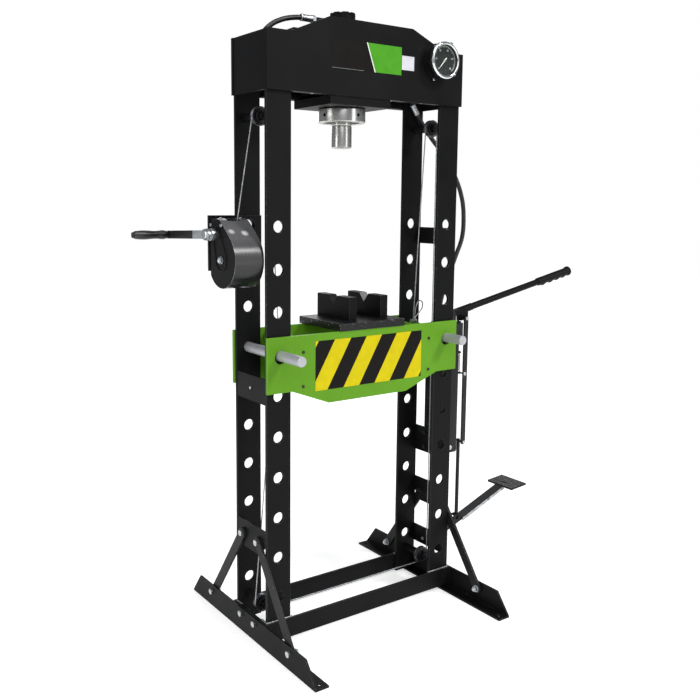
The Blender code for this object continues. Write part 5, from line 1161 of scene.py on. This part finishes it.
def makeCrankParts():
    w, g = winch, crankGrip
    bm = bmesh.new()
    hub = at(w["armLeft"] - 0.2, *w["crank"])
    washer(bm, hub, -xAxis, 7.2, 17.0, 2.4)
    hexHead(bm, hub - xAxis * 0.0026, -xAxis, 27.0, 9.0, bore=7.1)
    collar = filleted([(11.2, 0), (17, 0), (17, 12), (15, 14), (11.2, 14)], 0.8, closed=True)
    turned(bm, collar, at(w["armLeft"] + 8.2, *w["crank"]), xAxis, steps=56, ring=True)
    finishPiece("crank_hub_nut", bm, [zinc], "crank")
    bm = bmesh.new()
    turned(bm, filleted(g["profile"], 3.0, closed=True), at(g["start"], g["y"], g["z"]), -xAxis, steps=64, ring=True)
    piece = finishPiece("crank_grip_sleeve", bm, [blackPlastic], "crank_grip", angle=50)
    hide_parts("crank_grip")


makeWinchSide()
makeCrankParts()
print("winch and crank fitted")


# pump: lever grip, release knob, return spring, plugs and pivot clips

lever = {"pivot": (405.0, -15.0, 920.1), "angle": 11.8, "socketEnd": 105.3, "bar": 8.7, "tube": 11.2, "gripStart": 438.0,
         "gripEnd": 609.0, "radius": 14.2, "flange": 17.4, "humps": (0.15, 0.39, 0.6, 0.8), "humpWide": 0.1, "hump": 4.4,
         "earOut": 19.3}
knob = {"x": 420.0, "y": 40.3, "z": 866.65, "stem": 5.0, "radius": 13.0, "neck": 13.0, "length": 28.6, "bar": 18.2,
        "barRadius": 3.4, "flutes": 14}
spring = {"x": 451.2, "y": -15.0, "radius": 6.8, "wire": 1.2, "low": 724.0, "high": 778.0, "turns": 8,
          "lowStud": 716.0, "highStud": 786.0, "hook": 4.5, "studX": 458.0}
plugs = {"filler": (392.0, 815.0, 19.0), "drain": (392.0, 470.0, 14.0), "gasket": 1.6}
linkBolts = {"x": 463.0, "y": -15.0, "heights": (906.1, 475.1), "face": 24.5, "flats": 11.0,
             "stud": (458.0, -39.6, 716.0)}
blockScrews = {"spots": ((380.0, -36.0), (434.0, -36.0), (434.0, 32.0)), "z": 893.2, "flats": 10.0, "height": 5.0}
pedal = {"pivot": (385.0, -15.0, 158.0), "angle": 20.9, "armLength": 338.0, "padLength": 76.0, "padWidth": 118.0,
         "tilt": 5.0, "pad": 5.0, "ridges": 8, "lift": 2.0, "bars": 11, "barWide": 2.4, "earOut": 19.1, "armStart": 100.0,
         "armEnd": 314.0, "armHalf": 19.0, "armThick": 5.2}


def makeLeverGrip():
    v = lever
    turn = math.radians(v["angle"])
    along = Vector((math.cos(turn), 0, math.sin(turn)))
    pivot, length, r = at(*v["pivot"]), v["gripEnd"] - v["gripStart"], v["radius"]

    def section(step, distance):  # straight on top, finger humps under it, and a flange at the end
        reach = min(r, r - 2 + distance) + (v["flange"] - r) * min(1.0, max(0.0, (distance - length + 10) / 3))
        reach -= max(0.0, distance - length + 1)
        away = min(abs(distance / length - place) for place in v["humps"]) / v["humpWide"]
        hump = v["hump"] * (0.5 + 0.5 * math.cos(math.pi * min(1.0, away)))
        return [(reach * math.cos(t), reach * math.sin(t) + hump * min(0.0, math.sin(t)))
                for t in [fullTurn * k / 48 for k in range(48)]]

    bm = bmesh.new()
    path = [pivot + along * (v["gripStart"] + length * k / 120) / 1000 for k in range(121)]
    swept(bm, path, section, side=yAxis)
    face = [(4.5, 0), (v["flange"] - 2.2, 0), (v["flange"] - 2.2, 0.8), (4.5, 0.8)]
    turned(bm, filleted(face, 0.3, closed=True), path[-1], along, steps=48, ring=True, slot=1)
    piece = finishPiece("lever_grip_sleeve", bm, [gripRubber, greyRubber], "hand_lever", angle=50)
    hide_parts("lever_grip")
    bm = bmesh.new()
    bar, tube, low, high = v["bar"], v["tube"], v["socketEnd"], v["gripStart"] + 1
    turned(bm, filleted([(bar, low), (tube, low), (tube, high), (bar, high)], 0.6, closed=True), pivot, along, ring=True)
    finishPiece("lever_tube", bm, [blackCoat], "hand_lever")


def makeKnob():
    k = knob
    r, neck, length = k["radius"], k["neck"], k["length"]
    rows = [(k["stem"], 0), (k["stem"], neck - 1), (r * 0.7, neck), (r * 0.96, neck + 1.5), (r, neck + 3),
            (r, length - 3), (r * 0.9, length - 1), (r * 0.6, length)]

    def section(step, distance):
        radius = rows[step][0]
        depth = 0.05 if step in (4, 5) else 0.0
        return [(a * (1 - depth * (i % 4 == 0)), b * (1 - depth * (i % 4 == 0)))
                for i, (a, b) in enumerate(circleOf((0, 0), radius, k["flutes"] * 4))]

    bm = bmesh.new()
    swept(bm, [at(k["x"], k["y"] + along, k["z"]) for radius, along in rows], section)
    bar, half = k["barRadius"], k["bar"]
    profile = filleted([(0, -half), (bar, -half), (bar, half), (0, half)], 1.5)
    turned(bm, profile, at(k["x"], k["y"] + 20.8, k["z"]), xAxis, steps=32, slot=1)
    piece = finishPiece("release_knob_cap", bm, [blackPlastic, zinc], "release_knob")
    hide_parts("release_knob")


def makeSpring():
    s = spring
    hook, low, high = s["hook"], s["low"], s["high"]
    path = [at(s["studX"] + hook * math.cos(t), s["y"], s["lowStud"] + hook * math.sin(t))
            for t in [math.radians(210 + 20 * k) for k in range(12)]]
    for k in range(s["turns"] * 20 + 1):
        turn = fullTurn * k / 20
        path.append(at(s["x"] + s["radius"] * math.cos(turn), s["y"] + s["radius"] * math.sin(turn),
                       low + (high - low) * k / (s["turns"] * 20)))
    path += [at(s["studX"], s["y"] + hook * math.sin(t), s["highStud"] - hook * math.cos(t))
             for t in [math.radians(10 + 20 * k) for k in range(12)]]
    bm = bmesh.new()
    swept(bm, path, roundSection(s["wire"], 10))
    piece = finishPiece("return_spring_coil", bm, [springWire], None, angle=80)
    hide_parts("return_spring")
    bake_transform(piece)


def makePlugs():
    front = edgeOf("pump_tank", 0, 1)
    bm = bmesh.new()
    for x, z, flats in (plugs["filler"], plugs["drain"]):
        washer(bm, at(x, front, z), -yAxis, flats * 0.3, flats * 0.72, plugs["gasket"], slot=1)
        hexHead(bm, at(x, front - plugs["gasket"], z), -yAxis, flats, flats * 0.4)
    for spec in (lever, pedal):
        x, y, z = spec["pivot"]
        for way in sides:
            spot = at(x, y + way * (spec["earOut"] + 0.2), z)
            turned(bm, filleted([(4.2, 0), (9, 0), (9, 1.4), (4.2, 1.4)], 0.3, closed=True), spot, yAxis * way,
                   steps=32, ring=True, slot=1)
    for x, y in blockScrews["spots"]:
        hexHead(bm, at(x, y, blockScrews["z"]), zAxis, blockScrews["flats"], blockScrews["height"], slot=1)
    finishPiece("pump_plugs", bm, [zinc, oxide], "frame")
    b = linkBolts
    bm = bmesh.new()
    for z in b["heights"]:
        for way, kind in ((-1, "head"), (1, "nut")):
            screwed(bm, at(b["x"], b["y"] + way * b["face"], z), yAxis * way, b["flats"], kind)
    hexHead(bm, at(*b["stud"]), -yAxis, 11.0, 5.0)
    finishPiece("link_bolts", bm, [zinc], "pedal_link")


def makeTread():
    p = pedal
    lean, tilt = math.radians(p["angle"]), math.radians(p["tilt"])
    arm = Vector((math.cos(lean), 0, math.sin(lean)))
    armUp = Vector((-math.sin(lean), 0, math.cos(lean)))
    along = Vector((math.cos(tilt), 0, math.sin(tilt)))
    up = Vector((-math.sin(tilt), 0, math.cos(tilt)))
    corner = at(*p["pivot"]) + (arm * (p["armLength"] - p["padLength"] * 0.35) + armUp * p["lift"]) / 1000
    half, wide, top = p["padWidth"] / 2, p["barWide"], p["pad"]
    bar = filleted([(0.4, top - 1), (p["padLength"] - 0.4, top - 1), (p["padLength"] - 0.4, top + 2.4), (0.4, top + 2.4)],
                   0.6, closed=True)
    bm = bmesh.new()
    for i in range(p["bars"]):
        y = half - wide / 2 - 1 - (p["padWidth"] - wide - 2) * i / (p["bars"] - 1)
        extruded(bm, [bar], wide, corner + yAxis * (y + wide / 2) / 1000, along, up)
    for i in range(p["ridges"]):
        x = p["padLength"] * (i + 0.5) / p["ridges"]
        tooth = [(x - 2.2, top - 0.5), (x + 2.2, top - 0.5), (x + 1, top + 3.4), (x - 1, top + 3.4)]
        extruded(bm, [filleted(tooth, 0.5, closed=True)], p["padWidth"] - 1, corner + yAxis * (half - 0.5) / 1000, along, up,
                 slot=1)
    finishPiece("pedal_tread", bm, [tankCoat, wornTread], "foot_pedal")
    bm = bmesh.new()
    low, high, thick = p["armStart"], p["armEnd"], p["armThick"]
    plate = filleted([(low, -thick), (high, -thick), (high, thick), (low, thick)], 1.0, closed=True)
    extruded(bm, [plate], p["armHalf"] * 2, at(*p["pivot"]) + yAxis * p["armHalf"] / 1000, arm, armUp)
    bmesh.ops.recalc_face_normals(bm, faces=bm.faces)
    # painted highlight: the faces turned to the front take the pale rim finish, a lit edge painted on the dark arm
    for face in bm.faces:
        face.material_index = int(face.normal.y < -0.7)
    finishPiece("pedal_arm_plate", bm, [tankCoat, bareRimAndPaintedSheen], "foot_pedal")


makeLeverGrip()
makeKnob()
makeSpring()
makePlugs()
makeTread()
print("pump and pedal fitted")


# bolts of the frame: (face x, y, z) on the right side, mirrored to the left, heads outside and nuts inside

frameBolts = {"size": 17.0,
              "head": [(361.3, 45, 306), (361.3, -45, 306), (367.6, 232, 48), (367.6, -232, 48), (367.6, 40, 54),
                       (367.6, -40, 54)],
              "nut": [(353.3, 232, 48), (353.3, -232, 48), (353.3, 40, 54), (353.3, -40, 54)],
              "darkNut": [(347, 45, 306), (347, -45, 306)],
              "dark": [(347, 30, 462, -1), (347, -30, 462, -1), (347, 30, 512, -1), (347, -30, 512, -1)],
              "bright": [(347, 26, 133, 11.0), (-352.5, 0, 757.5, 8.0)],
              "winch": [(-313, 1140), (-313, 1188)]}
welds = {"radius": 2.8, "ripple": 3.6, "runs": [  # start, end, and whether paint covers it
    ((268, 90.8, 72), (357, 90.8, 72), 0), ((360.4, 97, 15), (360.4, 97, 69), 1), ((353.2, 60, 72), (353.2, 88, 72), 0)]}


def makeFrameBolts():
    f = frameBolts
    bm = bmesh.new()
    for kind in ("head", "nut"):
        for x, y, z in f[kind]:
            for sx in sides:
                screwed(bm, at(sx * x, y, z), xAxis * (sx if kind == "head" else -sx), f["size"], kind)
    for x, y, z, size in f["bright"]:
        screwed(bm, at(x, y, z), -xAxis, size, "head")
    finishPiece("frame_bolts", bm, [zinc], "frame")
    bm = bmesh.new()
    for x, y, z in f["darkNut"]:
        for sx in sides:
            screwed(bm, at(sx * x, y, z), -xAxis * sx, f["size"], "nut")
    for x, y, z, way in f["dark"]:
        screwed(bm, at(x, y, z), xAxis * way, 13.0, "head")
    for x, z in f["winch"]:
        screwed(bm, at(x, edgeOf("winch_mount_plate", 0, 1), z), -yAxis, f["size"], "head")
        screwed(bm, at(x, edgeOf("back_left_post", 1, 1), z), yAxis, f["size"], "nut")
    finishPiece("dark_bolts", bm, [oxide], "frame")


def bead(step, distance):  # a hand-laid bead swells at every ripple
    swell = welds["radius"] * (1 + 0.13 * math.sin(fullTurn * distance / welds["ripple"]))
    return circleOf((0, 0), swell, 12)


def makeWelds():
    bm = bmesh.new()
    for start, end, painted in welds["runs"]:
        for sx in sides:
            for sy in sides:
                a, b = (at(sx * x, sy * y, z) for x, y, z in (start, end))
                swept(bm, evenly([a, b], 0.9), bead, slot=painted)
    finishPiece("weld_beads", bm, [weldSteel, blackCoat], "frame", angle=60)


makeFrameBolts()
makeWelds()
print("bolts and welds set")
